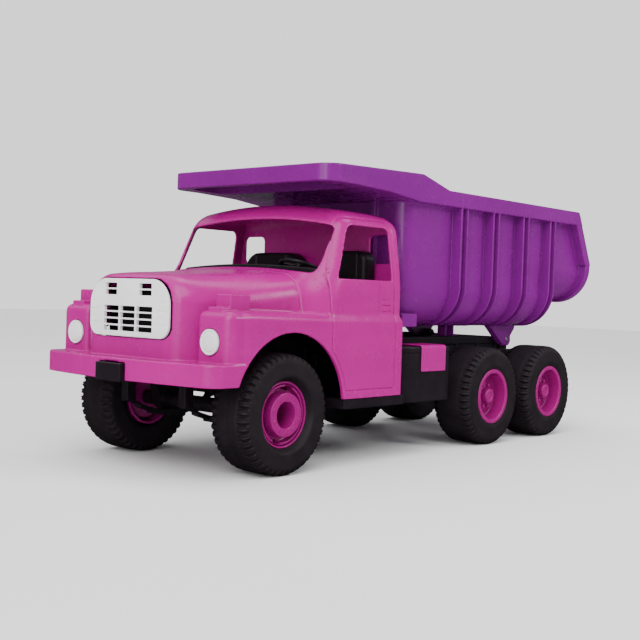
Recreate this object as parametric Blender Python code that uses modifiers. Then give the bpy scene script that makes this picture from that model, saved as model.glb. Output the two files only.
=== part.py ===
"""Push-along toy tipper truck: bonneted cab, three axles, tipping bed with a canopy over the cab.

Metres, +Z up, the bonnet facing -Y and the truck's left side at +X. Every shape is written in the
frame of the front axle (y = 0 at its axis, z = 0 on the floor) and hangs under the empty
truck_root, which puts the origin under the middle of the whole truck.
"""

import math

import bmesh
import bpy
from mathutils import Matrix, Vector

ROOT_Y = -0.2531  # places the front axle so that the truck's length is centred on the origin
GAP = 0.0003  # clearance between pieces that rest on each other
WALL = 0.003  # wall of the mouldings

# wheels and axles
WHEEL_R = 0.060
WHEEL_WIDTH = 0.052
WHEEL_X = 0.1028  # middle of a wheel from the centre plane
AXLE_R = 0.003
BORE_R = 0.0031
AXLE_YS = {"front": 0.0, "mid": 0.372, "rear": 0.5105}
AXLE_ENDS = {"front": 0.1020, "mid": 0.1220, "rear": 0.1220}  # half lengths of the axles
RIM_FIT_R = 0.0300  # bore of the tyre

# cab and bonnet moulding
SIDE_X = 0.130
REAR_Y = 0.178
FENDER_TOP = 0.1575
SILL_Z = 0.0715
BUMPER_Z = (0.090, 0.1113)
POD_Y = -0.083
POD_X = (0.084, 0.120)
NOSE_Y = -0.0965
ARCH_R = 0.0775
ARCH_YZ = (0.0035, 0.063)
HEADLIGHT_XZ = (0.103, 0.131)
HEADLIGHT_R = 0.0122
GRILLE_X = 0.0605
GRILLE_Z = (0.1310, 0.1880)

# chassis
RAIL_X = (0.050, 0.064)
RAIL_TOP = 0.131
RAIL_LOW = 0.085
HINGE_YZ = (0.497, 0.1265)
CAB_SCREW_YS = {"front": -0.0653, "rear": 0.16825}

# tipping bed
BED_X = 0.110
RIM_X = 0.1225
BED_Y = (0.205, 0.524)
BED_FLOOR = 0.1465
TAIL_FLOOR = 0.184
RIM_Z = (0.2860, 0.3045)
VISOR_Y = 0.056
RIB_YS = (0.3059, 0.3764, 0.4483, 0.5176)  # middles of the four double ribs
RIB_HALF = 0.0075
FIN = 0.0028

COLOURS = {
    "pink_plastic": (0.52, 0.055, 0.29, 0.32, 0.0),
    "purple_plastic": (0.22, 0.05, 0.29, 0.34, 0.0),
    "black_plastic": (0.030, 0.029, 0.033, 0.45, 0.0),
    "white_plastic": (0.82, 0.82, 0.83, 0.35, 0.0),
    "tyre_black": (0.032, 0.029, 0.031, 0.70, 0.0),
    "steel": (0.55, 0.55, 0.56, 0.30, 1.0),
}


def clear_scene():
    for obj in list(bpy.data.objects):
        bpy.data.objects.remove(obj, do_unlink=True)


def new_collection(name, hidden=False):
    made = bpy.data.collections.new(name)
    bpy.context.scene.collection.children.link(made)
    made.hide_render = hidden
    return made


def make_materials():
    made = {}
    for name, (red, green, blue, roughness, metallic) in COLOURS.items():
        material = bpy.data.materials.new(name)
        material.use_nodes = True
        shader = material.node_tree.nodes["Principled BSDF"]
        shader.inputs["Base Color"].default_value = (red, green, blue, 1.0)
        shader.inputs["Roughness"].default_value = roughness
        shader.inputs["Metallic"].default_value = metallic
        made[name] = material
    return made


clear_scene()
TRUCK = new_collection("push_along_truck")
CUTTERS = new_collection("cutters", hidden=True)
MATERIALS = make_materials()
ROOT = bpy.data.objects.new("truck_root", None)
ROOT.location = (0.0, ROOT_Y, 0.0)
TRUCK.objects.link(ROOT)


# ---------------------------------------------------------------- mesh helpers


def object_from(bm, name, material):
    """Makes the bmesh an object under truck_root, or a hidden helper where there is no material."""
    bmesh.ops.recalc_face_normals(bm, faces=bm.faces)
    mesh = bpy.data.meshes.new(name)
    bm.to_mesh(mesh)
    bm.free()
    obj = bpy.data.objects.new(name, mesh)
    obj.parent = ROOT
    if material:
        mesh.materials.append(MATERIALS[material])
        TRUCK.objects.link(obj)
    else:
        CUTTERS.objects.link(obj)
        obj.hide_render = True
        obj.display_type = "WIRE"
    return obj


def add_bevel(obj, width, segments=1, angle=50.0):
    modifier = obj.modifiers.new("edges", "BEVEL")
    modifier.width = width
    modifier.segments = segments
    modifier.limit_method = "ANGLE"
    modifier.angle_limit = math.radians(angle)
    return obj


def box(name, low, high, material=None, bevel=0.0, segments=1):
    low, high = Vector(low), Vector(high)
    bm = bmesh.new()
    bmesh.ops.create_cube(bm, size=1.0)
    for vert in bm.verts:
        vert.co = (low + high) / 2 + Vector(a * b for a, b in zip(vert.co, high - low))
    obj = object_from(bm, name, material)
    return add_bevel(obj, bevel, segments) if bevel else obj


def prism(name, outline, axis, start, end, material=None, bevel=0.0):
    """Extrudes a flat outline along an axis: (y, z) points for "x", (x, z) for "y", (x, y) for "z"."""
    place = {
        "x": lambda a, b: (start, a, b),
        "y": lambda a, b: (a, start, b),
        "z": lambda a, b: (a, b, start),
    }[axis]
    bm = bmesh.new()
    face = bm.faces.new([bm.verts.new(place(a, b)) for a, b in outline])
    moved = bmesh.ops.extrude_face_region(bm, geom=[face])["geom"]
    shift = Vector({"x": (1, 0, 0), "y": (0, 1, 0), "z": (0, 0, 1)}[axis]) * (end - start)
    bmesh.ops.translate(bm, vec=shift, verts=[g for g in moved if isinstance(g, bmesh.types.BMVert)])
    obj = object_from(bm, name, material)
    return add_bevel(obj, bevel) if bevel else obj


def cylinder(name, radius, start, end, material=None, sides=24):
    """A cylinder from one point to another."""
    start, end = Vector(start), Vector(end)
    bm = bmesh.new()
    bmesh.ops.create_cone(
        bm, cap_ends=True, segments=sides, radius1=radius, radius2=radius, depth=(end - start).length
    )
    turn = Vector((0, 0, 1)).rotation_difference(end - start).to_matrix().to_4x4()
    bmesh.ops.transform(bm, matrix=Matrix.Translation((start + end) / 2) @ turn, verts=bm.verts)
    return object_from(bm, name, material)


def lathe(name, profile, steps, material=None):
    """Turns (radius, height) points, given down the outer side, about the object's Z axis."""
    bm = bmesh.new()
    verts = [bm.verts.new((radius, 0.0, height)) for radius, height in profile]
    closed = profile[0][0] > 0.0 and profile[-1][0] > 0.0
    for a, b in zip(verts, verts[1:] + verts[:1] if closed else verts[1:]):
        bm.edges.new((a, b))
    mesh = bpy.data.meshes.new(name)
    bm.to_mesh(mesh)
    bm.free()
    obj = bpy.data.objects.new(name, mesh)
    obj.parent = ROOT
    if material:
        mesh.materials.append(MATERIALS[material])
    TRUCK.objects.link(obj)
    screw = obj.modifiers.new("turn", "SCREW")
    screw.steps = screw.render_steps = steps
    screw.use_merge_vertices = not closed
    screw.merge_threshold = 0.0001
    screw.use_smooth_shade = True
    return obj


def loft(name, loops, material=None):
    """Skins a stack of closed loops with the same number of points and closes both ends."""
    bm = bmesh.new()
    rings = [[bm.verts.new(point) for point in loop] for loop in loops]
    for ring, above in zip(rings, rings[1:]):
        for i, vert in enumerate(ring):
            j = (i + 1) % len(ring)
            bm.faces.new((vert, ring[j], above[j], above[i]))
    bm.faces.new(rings[0])
    bm.faces.new(rings[-1])
    return object_from(bm, name, material)


def combine(obj, operation, *tools):
    """Adds or cuts helper solids, which stay in the cutters' collection."""
    for tool in tools:
        modifier = obj.modifiers.new(tool.name, "BOOLEAN")
        modifier.operation = operation
        modifier.object = tool
        if tool.name in TRUCK.objects:
            TRUCK.objects.unlink(tool)
            CUTTERS.objects.link(tool)
        tool.hide_render = True
        tool.display_type = "WIRE"
    return obj


def set_origin(obj, point):
    """Moves an object's origin onto its joint's axis and leaves its shape where it is."""
    obj.data.transform(Matrix.Translation(-Vector(point)))
    obj.location = point


# ---------------------------------------------------------------- outlines


def arc(centre, radius, start, end, steps):
    """Points along an arc, angles in degrees."""
    angles = (math.radians(start + (end - start) * i / steps) for i in range(steps + 1))
    return [(centre[0] + radius * math.cos(a), centre[1] + radius * math.sin(a)) for a in angles]


def rounded_box(low, high, radii, steps=3):
    """A rectangle with its own corner radii: low-low, high-low, high-high, low-high."""
    (x0, y0), (x1, y1) = low, high
    a, b, c, d = radii
    return (
        arc((x0 + a, y0 + a), a, 180, 270, steps)
        + arc((x1 - b, y0 + b), b, 270, 360, steps)
        + arc((x1 - c, y1 - c), c, 0, 90, steps)
        + arc((x0 + d, y1 - d), d, 90, 180, steps)
    )


def trough(half, floor, top, radius, steps=4):
    """The outline of a trough, open corners at the top, (x, z)."""
    return (
        [(-half, top)]
        + arc((-half + radius, floor + radius), radius, 180, 270, steps)
        + arc((half - radius, floor + radius), radius, 270, 360, steps)
        + [(half, top)]
    )


def mirrored(half_outline):
    """Closes an outline given on +X from bottom to top with its mirror image."""
    return half_outline + [(-x, z) for x, z in reversed(half_outline) if x > 0.0]


# ---------------------------------------------------------------- cab and bonnet

# station y, half width, top at the centre, shoulder radius, drop of the crown at the shoulder
BONNET = (
    (NOSE_Y, 0.0635, 0.1905, 0.027, 0.0015),
    (-0.0945, 0.0660, 0.1922, 0.028, 0.0020),
    (-0.0890, 0.0695, 0.1934, 0.029, 0.0025),
    (-0.0780, 0.0770, 0.1945, 0.030, 0.0030),
    (-0.0550, 0.0890, 0.1960, 0.030, 0.0040),
    (-0.0200, 0.0980, 0.1982, 0.028, 0.0045),
    (0.0300, 0.1070, 0.2012, 0.024, 0.0050),
    (0.0450, 0.1170, 0.2025, 0.018, 0.0050),
    (0.0580, 0.1245, 0.2040, 0.012, 0.0050),
    (0.1000, 0.1245, 0.2040, 0.012, 0.0050),
)
# level z, half width, front y, rear y
CAB = (
    (0.1500, 0.1270, 0.0520, 0.1775),
    (0.1955, 0.1268, 0.0560, 0.1775),
    (0.2515, 0.1185, 0.0775, 0.1775),
    (0.2620, 0.1150, 0.0820, 0.1755),
    (0.2680, 0.1090, 0.0870, 0.1710),
    (0.2715, 0.0960, 0.0940, 0.1640),
    (0.2745, 0.0720, 0.1040, 0.1540),
    (0.2762, 0.0450, 0.1160, 0.1420),
)


def bonnet_loops(inset=0.0):
    """Cross-sections of the bonnet from the nose back, each from z = 0.092 up and over the crown."""
    loops = []
    low = 0.092 - 8 * inset
    for i, (y, half, top, radius, drop) in enumerate(BONNET):
        half -= inset
        shoulder = top - drop - inset
        radius -= inset
        curve = arc((half - radius, shoulder - radius), radius, 0, 90, 4)
        flat = [(half - radius) * share for share in (0.75, 0.5, 0.25, 0.0)]
        crown = [(x, shoulder + drop * (1 - (x / (half - radius)) ** 2)) for x in flat]
        y += inset * (1.0, 0.9, 0.7, 0.4, 0.0)[min(i, 4)]
        outline = mirrored([(half, low)] + curve + crown)
        loops.append([(x, y, z) for x, z in outline])
    return loops


def cab_loops(inset=0.0):
    """Level cross-sections of the cab from below the waist to the roof."""
    loops = []
    for i, (z, half, front, rear) in enumerate(CAB):
        z = z - 20 * inset if i == 0 else z - inset * min(1.0, i / 4)
        half -= inset
        turn = max(min(0.022, half * 0.3), 0.005)
        back = max(min(0.012, half * 0.2), 0.005)
        outline = rounded_box(
            (-half, front + inset), (half, rear - inset), (turn, turn, back, back), 3
        )
        loops.append([(x, y, z) for x, y in outline])
    return loops


def lower_outline(inset=0.0):
    """Plan of the fenders, headlight pods and doors."""
    side, pod_in, pod_out, front = SIDE_X - inset, POD_X[0] + inset, POD_X[1], POD_Y + inset
    half = [(pod_in, -0.066 + inset), (pod_in, front)]
    half += arc((pod_out, front + 0.010 - inset), 0.010 - inset, 270, 360, 3)
    half += [(side, REAR_Y - inset)]
    return half + [(-x, y) for x, y in reversed(half)]


def bumper_outline(inset=0.0):
    """Plan of the bumper: a shallow bow with rounded ends."""
    bow, front, corner = 0.60, -0.1160 + inset, 0.016 - inset
    half = [(x, front + bow - math.sqrt(bow**2 - x**2)) for x in (0.020, 0.050, 0.080, 0.1085)]
    half += arc((SIDE_X - inset - corner, front + 0.0103 + corner), corner, 295, 360, 3)
    half += [(SIDE_X - inset, -0.060)]
    return half + [(-x, y) for x, y in reversed(half)]


def make_cab_body():
    cab = prism("cab_body", lower_outline(), "z", SILL_Z, FENDER_TOP, "pink_plastic", bevel=0.003)
    bumper = prism("bumper", bumper_outline(), "z", *BUMPER_Z, bevel=0.0015)
    bonnet = loft("bonnet", bonnet_loops())
    greenhouse = loft("greenhouse", cab_loops())
    combine(cab, "UNION", bonnet, greenhouse, bumper)
    for side, s in (("left", 1), ("right", -1)):
        for step, (x, front, rear, top) in enumerate(
            ((0.1150, -0.0800, -0.0540, 0.1640), (0.1157, -0.0700, -0.0440, 0.1762))
        ):
            block = box(
                f"fender_step_{step}_{side}",
                (min(s * 0.070, s * x), front, 0.150),
                (max(s * 0.070, s * x), rear, top),
                bevel=0.0012,
            )
            combine(cab, "UNION", block)
    hollow = prism("hollow_low", lower_outline(WALL), "z", 0.040, FENDER_TOP - WALL)
    combine(
        cab,
        "DIFFERENCE",
        hollow,
        loft("hollow_bonnet", bonnet_loops(WALL)),
        loft("hollow_cab", cab_loops(WALL)),
        prism("hollow_bumper", bumper_outline(WALL), "z", 0.040, BUMPER_Z[1] - WALL),
        box("front_skirt", (-0.2, -0.2, 0.0), (0.2, -0.050, BUMPER_Z[0])),
        cylinder("wheel_arch", ARCH_R, (-0.2, *ARCH_YZ), (0.2, *ARCH_YZ), sides=40),
        box("arch_foot", (-0.2, -0.0739, 0.0), (0.2, 0.0809, 0.063)),
        prism("windscreen", windscreen_outline(), "y", 0.050, 0.130),
        prism("door_windows", side_window_outline(), "x", -0.2, 0.2),
        prism("grille_gap", grille_outline(GAP), "y", -0.2, -0.088),
        box("tow_gap", (-0.0193, -0.2, 0.0), (0.0193, -0.105, 0.1070)),
        box("rail_gap", (-0.0760, 0.170, 0.0), (0.0760, 0.200, RAIL_TOP + GAP)),
    )
    for s in (1, -1):
        window = rounded_box((0.082, 0.2145), (0.1135, 0.2465), (0.006,) * 4)
        window = [(s * x, z) for x, z in window]
        peg = (s * HEADLIGHT_XZ[0], -0.2, HEADLIGHT_XZ[1])
        combine(
            cab,
            "DIFFERENCE",
            prism(f"rear_window_{s}", window, "y", 0.160, 0.2),
            cylinder(f"headlight_hole_{s}", 0.0043, peg, (peg[0], -0.070, peg[2]), sides=12),
        )
    # inner ledges that rest on the rails and take the four cab screws
    for end, half, low, high in (("front", 0.079, -0.0700, -0.056), ("rear", 0.056, 0.160, 0.1765)):
        ledge = box(f"ledge_{end}", (-half, low, RAIL_TOP + GAP), (half, high, RAIL_TOP + 0.004))
        combine(cab, "UNION", ledge)
        for s in (1, -1):
            x, y = s * 0.030, CAB_SCREW_YS[end]
            hole = cylinder(f"ledge_hole_{end}_{s}", 0.0023, (x, y, 0.11), (x, y, 0.15), sides=10)
            combine(cab, "DIFFERENCE", hole)
    return cab


def windscreen_outline():
    """The windscreen opening seen from the front, with an arched head and sill."""
    sill = [(x, 0.2052 - 0.0047 * (x / 0.104) ** 2) for x in (0.0, 0.035, 0.070)]
    side = arc((0.1025, 0.2050), 0.0045, 285, 360, 2) + arc((0.1040, 0.2462), 0.0045, 0, 70, 2)
    head = [(x, 0.2585 - 0.0075 * (x / 0.104) ** 2) for x in (0.075, 0.040, 0.0)]
    return mirrored(sill + side + head)


def side_window_outline():
    """A door window (y, z): raked front edge, round upper rear corner."""
    return (
        arc((0.0775, 0.1985), 0.003, 200, 270, 2)
        + [(0.1615, 0.1955)]
        + arc((0.1555, 0.2460), 0.006, 0, 90, 3)
        + arc((0.0990, 0.2480), 0.004, 90, 160, 2)
    )


def grille_outline(grow=0.0):
    """The grille insert (x, z): wide round shoulders, smaller lower corners."""
    half, (low, high) = GRILLE_X + grow, GRILLE_Z
    return rounded_box(
        (-half, low - grow), (half, high + grow), (0.012 + grow,) * 2 + (0.025 + grow,) * 2, 5
    )


# ---------------------------------------------------------------- grille, lights, tow block


def make_grille():
    grille = prism("grille", grille_outline(), "y", -0.0980, -0.0915, "white_plastic")
    upper = [(s * 0.0262, 0.1812 - 0.0066 * row, 0.0170) for s in (1, -1) for row in range(2)]
    lower = [(x, 0.1588 - 0.0066 * row, 0.0200) for x in (-0.0265, 0.0, 0.0265) for row in range(4)]
    for number, (x, z, width) in enumerate(upper + lower):
        slot = box(
            f"slot_{number}", (x - width / 2, -0.11, z - 0.0023), (x + width / 2, -0.08, z + 0.0023)
        )
        combine(grille, "DIFFERENCE", slot)


def make_headlight(side, s):
    x, z = HEADLIGHT_XZ
    face = [(0.0, 0.0030), (0.0065, 0.0028), (0.0105, 0.0020), (HEADLIGHT_R, 0.0006)]
    peg = [(HEADLIGHT_R, -0.0002), (0.0040, -0.0002), (0.0040, -0.0080), (0.0, -0.0080)]
    light = lathe(f"headlight_{side}", face + peg, 24, "white_plastic")
    light.location = (s * x, POD_Y - 0.0006, z)
    light.rotation_euler = (math.pi / 2, 0.0, 0.0)


def make_tow_block():
    box(
        "tow_block",
        (-0.0190, -0.1210, 0.0885),
        (0.0190, -0.0755, 0.1065),
        "black_plastic",
        bevel=0.0012,
    )


# ---------------------------------------------------------------- cab interior


def make_interior():
    box("cab_floor", (-0.1160, 0.0640, RAIL_TOP + GAP), (0.1160, 0.1590, 0.1345), "black_plastic")
    dash = prism(
        "dashboard",
        [(0.0660, 0.1348), (0.0960, 0.1348), (0.0960, 0.1780), (0.0760, 0.2000), (0.0660, 0.2000)],
        "x",
        -0.1130,
        0.1130,
        "black_plastic",
    )
    crown = [(x, 0.2062 - 0.0052 * (x / 0.104) ** 2) for x in (0.0, 0.030, 0.060, 0.085, 0.104)]
    top = prism("dash_crown", mirrored([(0.104, 0.190)] + crown[::-1]), "y", 0.0668, 0.0790)
    combine(dash, "UNION", top, cylinder("column", 0.0045, steering_at(-0.045), steering_at(-0.003)))
    combine(dash, "DIFFERENCE", box("dash_hollow", (-0.1095, 0.0500, 0.1300), (0.1095, 0.0930, 0.1600)))
    combine(dash, "UNION", cylinder("spigot", 0.0020, steering_at(-0.010), steering_at(0.0012), sides=12))
    shoulders = {
        "driver": ((0.0460, 0.0940), 0.2285, 0.012),
        "passenger": ((-0.0940, -0.0040), 0.2265, 0.022),
    }
    for name, ((low, high), top, radius) in shoulders.items():
        outline = rounded_box((low, 0.1350), (high, top), (0.003, 0.003, radius, radius), 4)
        seat = prism(f"seat_{name}", outline, "y", 0.1530, 0.1735, "black_plastic")
        cushion = box(
            f"cushion_{name}", (low + 0.001, 0.1100, 0.1352), (high - 0.001, 0.1600, 0.1600), bevel=0.004
        )
        combine(seat, "UNION", cushion)
        hollow = box(f"seat_hollow_{name}", (low + 0.004, 0.1130, 0.1300), (high - 0.004, 0.1570, 0.1570))
        combine(seat, "DIFFERENCE", hollow)


STEERING_CENTRE = Vector((0.0480, 0.0970, 0.2085))
STEERING_TILT = math.radians(17.0)
STEERING_AXIS = Vector((0.0, math.sin(STEERING_TILT), math.cos(STEERING_TILT)))


def steering_at(distance):
    """A point on the steering column's axis, measured up from the middle of the wheel."""
    return STEERING_CENTRE + STEERING_AXIS * distance


def make_steering_wheel():
    wheel = lathe("steering_wheel", arc((0.0205, 0.0), 0.0022, 90, -225, 7), 24, "black_plastic")
    hub = lathe("steering_hub", [(0.0, 0.0022), (0.0052, 0.0014), (0.0052, -0.0018), (0.0, -0.0018)], 12)
    spokes = [hub]
    for number in range(3):
        spoke = box(f"spoke_{number}", (0.0, -0.0018, -0.0010), (0.0205, 0.0018, 0.0010))
        spoke.rotation_euler = (0.0, 0.0, math.radians(90 + 120 * number))
        spokes.append(spoke)
    combine(wheel, "UNION", *spokes)
    combine(wheel, "DIFFERENCE", cylinder("spigot_bore", 0.0021, (0, 0, -0.004), (0, 0, 0.0015), sides=12))
    for piece in [wheel] + spokes + [bpy.data.objects["spigot_bore"]]:
        tilt = Matrix.Rotation(-STEERING_TILT, 4, "X")
        piece.matrix_basis = Matrix.Translation(STEERING_CENTRE) @ tilt @ piece.matrix_basis


# ---------------------------------------------------------------- chassis


def rail_outline():
    """Side view (y, z) of a chassis rail, stepped down behind the bed's hinge."""
    return [
        (-0.0750, RAIL_LOW),
        (0.5450, RAIL_LOW),
        (0.5450, 0.1120),
        (0.4860, 0.1120),
        (0.4860, 0.1235),
        (0.4434, RAIL_TOP),
        (-0.0750, RAIL_TOP),
    ]


def make_chassis():
    frame = prism("chassis_frame", rail_outline(), "x", *RAIL_X, "black_plastic")
    other = prism("other_rail", rail_outline(), "x", -RAIL_X[1], -RAIL_X[0])
    combine(frame, "UNION", other)
    members = ((-0.0747, -0.0560, 0.131), (0.0750, 0.0900, 0.115), (0.1600, 0.1765, 0.131))
    members += ((0.2900, 0.3050, 0.131), (0.4300, 0.4450, 0.128), (0.5300, 0.5447, 0.110))
    for number, (low, high, top) in enumerate(members):
        member = box(
            f"cross_member_{number}", (-0.0600, low, top - 0.024), (0.0600, high, top - 0.0003)
        )
        combine(frame, "UNION", member)
    for s in (1, -1):
        for name, y in AXLE_YS.items():
            hanger = [(y - 0.020, 0.090)] + arc((y, WHEEL_R), 0.0095, 200, 340, 5) + [(y + 0.020, 0.090)]
            low, high = sorted((s * RAIL_X[0], s * (RAIL_X[1] - 0.0003)))
            combine(frame, "UNION", prism(f"hanger_{name}_{s}", hanger, "x", low, high))
        y, z = HINGE_YZ
        lug = [(y - 0.009, 0.105), (y + 0.009, 0.105)] + arc((y, z), 0.0085, 0, 180, 6)
        low, high = sorted((s * 0.0560, s * (RAIL_X[1] - 0.0003)))
        combine(frame, "UNION", prism(f"hinge_lug_{s}", lug, "x", low, high))
    for name, y in AXLE_YS.items():
        at = (y, WHEEL_R)
        tube = cylinder(f"axle_tube_{name}", 0.0080, (-0.0842, *at), (0.0842, *at), sides=16)
        combine(frame, "UNION", tube)
        bore = cylinder(f"axle_bore_{name}", BORE_R, (-0.1, *at), (0.1, *at), sides=16)
        combine(frame, "DIFFERENCE", bore)
    for number, (low, high) in enumerate(((-0.052, 0.071), (0.094, 0.156), (0.181, 0.286), (0.309, 0.426))):
        pocket = box(f"rail_pocket_{number}", (-0.0610, low, 0.0895), (0.0610, high, 0.1265))
        combine(frame, "DIFFERENCE", pocket)
    hinge = cylinder("hinge_bore", BORE_R, (-0.1, *HINGE_YZ), (0.1, *HINGE_YZ), sides=16)
    combine(frame, "DIFFERENCE", hinge)
    for end, y in CAB_SCREW_YS.items():
        for s in (1, -1):
            x = s * 0.030
            hole = cylinder(f"screw_hole_{end}_{s}", 0.0023, (x, y, 0.09), (x, y, 0.15), sides=10)
            combine(frame, "DIFFERENCE", hole)
    return frame


def make_front_springs():
    """Moulded leaf springs that clip under the rails on both sides of the front axle."""
    for side, s in (("left", 1), ("right", -1)):
        outer = arc((0.0, 0.171), 0.1270, 240, 300, 8)
        inner = arc((0.0, 0.171), 0.1200, 300, 240, 8)
        low, high = sorted((s * 0.0390, s * 0.0495))
        spring = prism(f"front_spring_{side}", outer + inner, "x", low, high, "black_plastic")
        ends = [
            box(f"spring_eye_{side}_{e}", (low, e * 0.058 - 0.006, 0.0630), (high, e * 0.058 + 0.006, 0.0845))
            for e in (1, -1)
        ]
        combine(spring, "UNION", *ends)


def make_side_gear():
    """Running boards, side tanks and their covers, one set a side."""
    for side, s in (("left", 1), ("right", -1)):

        def x_range(a, b):
            return tuple(sorted((s * a, s * b)))

        low, high = x_range(RAIL_X[1] + GAP, 0.1290)
        board = box(
            f"running_board_{side}", (low, 0.0835, 0.0605), (high, 0.1870, 0.0712), "black_plastic", 0.0010
        )
        low, high = x_range(RAIL_X[1] + GAP, 0.0740)
        post = box(f"board_post_{side}", (low, 0.1000, 0.0650), (high, 0.1720, 0.1150))
        combine(board, "UNION", post)

        inner, outer = RAIL_X[1] + GAP, 0.1245
        plan = [(inner, 0.1876), (0.1000, 0.1876)] + arc((0.1005, 0.2116), 0.0240, 270, 360, 6)
        plan += [(outer, 0.2785), (inner, 0.2785)]
        hollow = [(inner + 0.003, 0.1906), (0.0990, 0.1906)] + arc((0.1005, 0.2116), 0.0210, 290, 360, 4)
        hollow += [(outer - 0.003, 0.2755), (inner + 0.003, 0.2755)]
        tank = prism(
            f"side_tank_{side}", [(s * x, y) for x, y in plan], "z", 0.0605, 0.1235, "black_plastic", 0.0010
        )
        inside = prism(f"tank_hollow_{side}", [(s * x, y) for x, y in hollow], "z", 0.05, 0.1205)
        combine(tank, "DIFFERENCE", inside)

        low, high = x_range(0.0900, 0.1263)
        cover = box(
            f"tank_cover_{side}", (low, 0.2215, 0.0950), (high, 0.2690, 0.1253), "pink_plastic", 0.0020
        )
        low, high = x_range(0.0700, outer + GAP)
        combine(cover, "DIFFERENCE", box(f"cover_seat_{side}", (low, 0.20, 0.08), (high, 0.29, 0.1235 + GAP)))


# ---------------------------------------------------------------- wheels


def tyre_profile():
    """A hollow carcass on two beads, open towards the rim; the recessed side is at +Z."""
    w = WHEEL_WIDTH / 2
    skin = 0.0035
    return [
        (RIM_FIT_R, 0.0165),
        (0.0370, w),
        (0.0540, w),
        (WHEEL_R, w - 0.0055),
        (WHEEL_R, -w + 0.0055),
        (0.0540, -w),
        (0.0345, -w),
        (RIM_FIT_R, -w + 0.0030),
        (RIM_FIT_R, -w + 0.0090),
        (0.0375, -w + skin),
        (WHEEL_R - skin, -w + 0.0075),
        (WHEEL_R - skin, w - 0.0075),
        (0.0375, w - skin - 0.0010),
        (RIM_FIT_R, 0.0125),
    ]


def rim_profile():
    """One wheel serves both ends: a raised hub ring at +Z, a deep dish at -Z."""
    w = WHEEL_WIDTH / 2
    fit = RIM_FIT_R - GAP
    return [
        (0.0131, 0.0230),
        (0.0219, 0.0230),
        (0.0225, 0.0110),
        (0.0278, 0.0110),
        (fit, 0.0175),
        (fit, -w + 0.0025),
        (0.0322, -w + 0.0002),
        (0.0285, -0.0080),
        (0.0190, -0.0080),
        (0.0165, -0.0165),
        (BORE_R, -0.0165),
        (BORE_R, -0.0040),
        (0.0131, -0.0040),
    ]


def make_wheels():
    for name, y in AXLE_YS.items():
        end = AXLE_ENDS[name]
        axle = cylinder(f"axle_{name}", AXLE_R, (-end, 0, 0), (end, 0, 0), "steel", sides=16)
        axle.location = (0.0, y, WHEEL_R)
        for side, s in (("left", 1), ("right", -1)):
            outward = s if name == "front" else -s  # the dished side faces out on the rear axles
            for part, profile, material, steps in (
                ("tyre", tyre_profile(), "tyre_black", 28),
                ("rim", rim_profile(), "pink_plastic", 24),
            ):
                piece = lathe(f"{part}_{name}_{side}", profile, steps, material)
                piece.location = (s * WHEEL_X, y, WHEEL_R)
                piece.rotation_euler = (0.0, outward * math.pi / 2, 0.0)
            dome = [(BORE_R, 0.0013), (0.0038, 0.0013), (0.0064, 0.0004), (0.0064, 0.0), (BORE_R, 0.0)]
            clip = lathe(f"axle_clip_{name}_{side}", dome, 16, "steel")
            clip.location = (s * (end - 0.0023), y, WHEEL_R)
            clip.rotation_euler = (0.0, s * math.pi / 2, 0.0)


# ---------------------------------------------------------------- tipping bed


def make_bed():
    bed = prism("dump_bed", trough(BED_X, BED_FLOOR, RIM_Z[1] - 0.001, 0.042), "y", *BED_Y, "purple_plastic")
    tail = prism("bed_tail", trough(BED_X + 0.0005, TAIL_FLOOR, RIM_Z[1] - 0.002, 0.040), "y", 0.500, 0.640)
    combine(bed, "UNION", tail)
    rim = box("bed_rim", (-RIM_X, BED_Y[0] + 0.004, RIM_Z[0]), (RIM_X, 0.640, RIM_Z[1]))
    combine(bed, "UNION", rim)
    for s in (1, -1):
        lip = [(0.573, 0.295), (0.640, 0.295), (0.640, 0.2315), (0.604, 0.2315)]
        low, high = sorted((s * 0.100, s * (RIM_X - 0.0001)))
        combine(bed, "UNION", prism(f"tail_lip_{s}", lip, "x", low, high))
    combine(bed, "UNION", prism("visor", visor_outline(), "x", -RIM_X + 0.0002, RIM_X - 0.0002))
    for number, y in enumerate(RIB_YS):
        for s in (1, -1):
            middle = y + s * (RIB_HALF - FIN / 2)
            outline = trough(RIM_X - 0.0003, 0.1447, RIM_Z[0] + 0.003, 0.050, 6)
            fin = prism(f"fin_{number}_{s}", outline, "y", middle - FIN / 2, middle + FIN / 2)
            combine(bed, "UNION", fin)
    for s in (1, -1):
        low, high = sorted((s * 0.0520, s * RAIL_X[1]))
        foot = box(f"bed_foot_{s}", (low, 0.3570, RAIL_TOP + GAP), (high, 0.3760, 0.1490))
        y, z = HINGE_YZ
        plate = [(0.4475, 0.1490), (0.4475, 0.1430)] + arc((y, z), 0.0092, 235, 370, 7)
        plate += [(0.5160, 0.1430), (0.5160, 0.1490)]
        low, high = sorted((s * 0.0643, s * 0.0690))
        bracket = prism(f"bed_bracket_{s}", plate, "x", low, high)
        pad_low, pad_high = sorted((s * 0.0720, s * 0.1085))
        pad = box(f"bed_pad_{s}", (pad_low, 0.2052, 0.1449), (pad_high, 0.2340, 0.1600))
        combine(bed, "UNION", foot, bracket, pad)
    tail_end = [(0.5860, 0.350), (0.5878, 0.3063), (0.6270, 0.2315), (0.6275, 0.150)]
    tail_end += [(0.700, 0.150), (0.700, 0.350)]
    combine(
        bed,
        "DIFFERENCE",
        prism("bed_hollow", trough(BED_X - WALL, BED_FLOOR + WALL, 0.340, 0.039), "y", 0.208, 0.521),
        prism("tail_hollow", trough(BED_X - WALL, TAIL_FLOOR + WALL, 0.340, 0.037), "y", 0.515, 0.700),
        prism("tail_cut", tail_end, "x", -0.2, 0.2),
        box("visor_pocket", (-0.1010, 0.0640, 0.2800), (0.1010, 0.1200, 0.3080)),
        cylinder("bed_hinge_bore", BORE_R, (-0.1, *HINGE_YZ), (0.1, *HINGE_YZ), sides=24),
    )
    set_origin(bed, (0.0, *HINGE_YZ))


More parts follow.
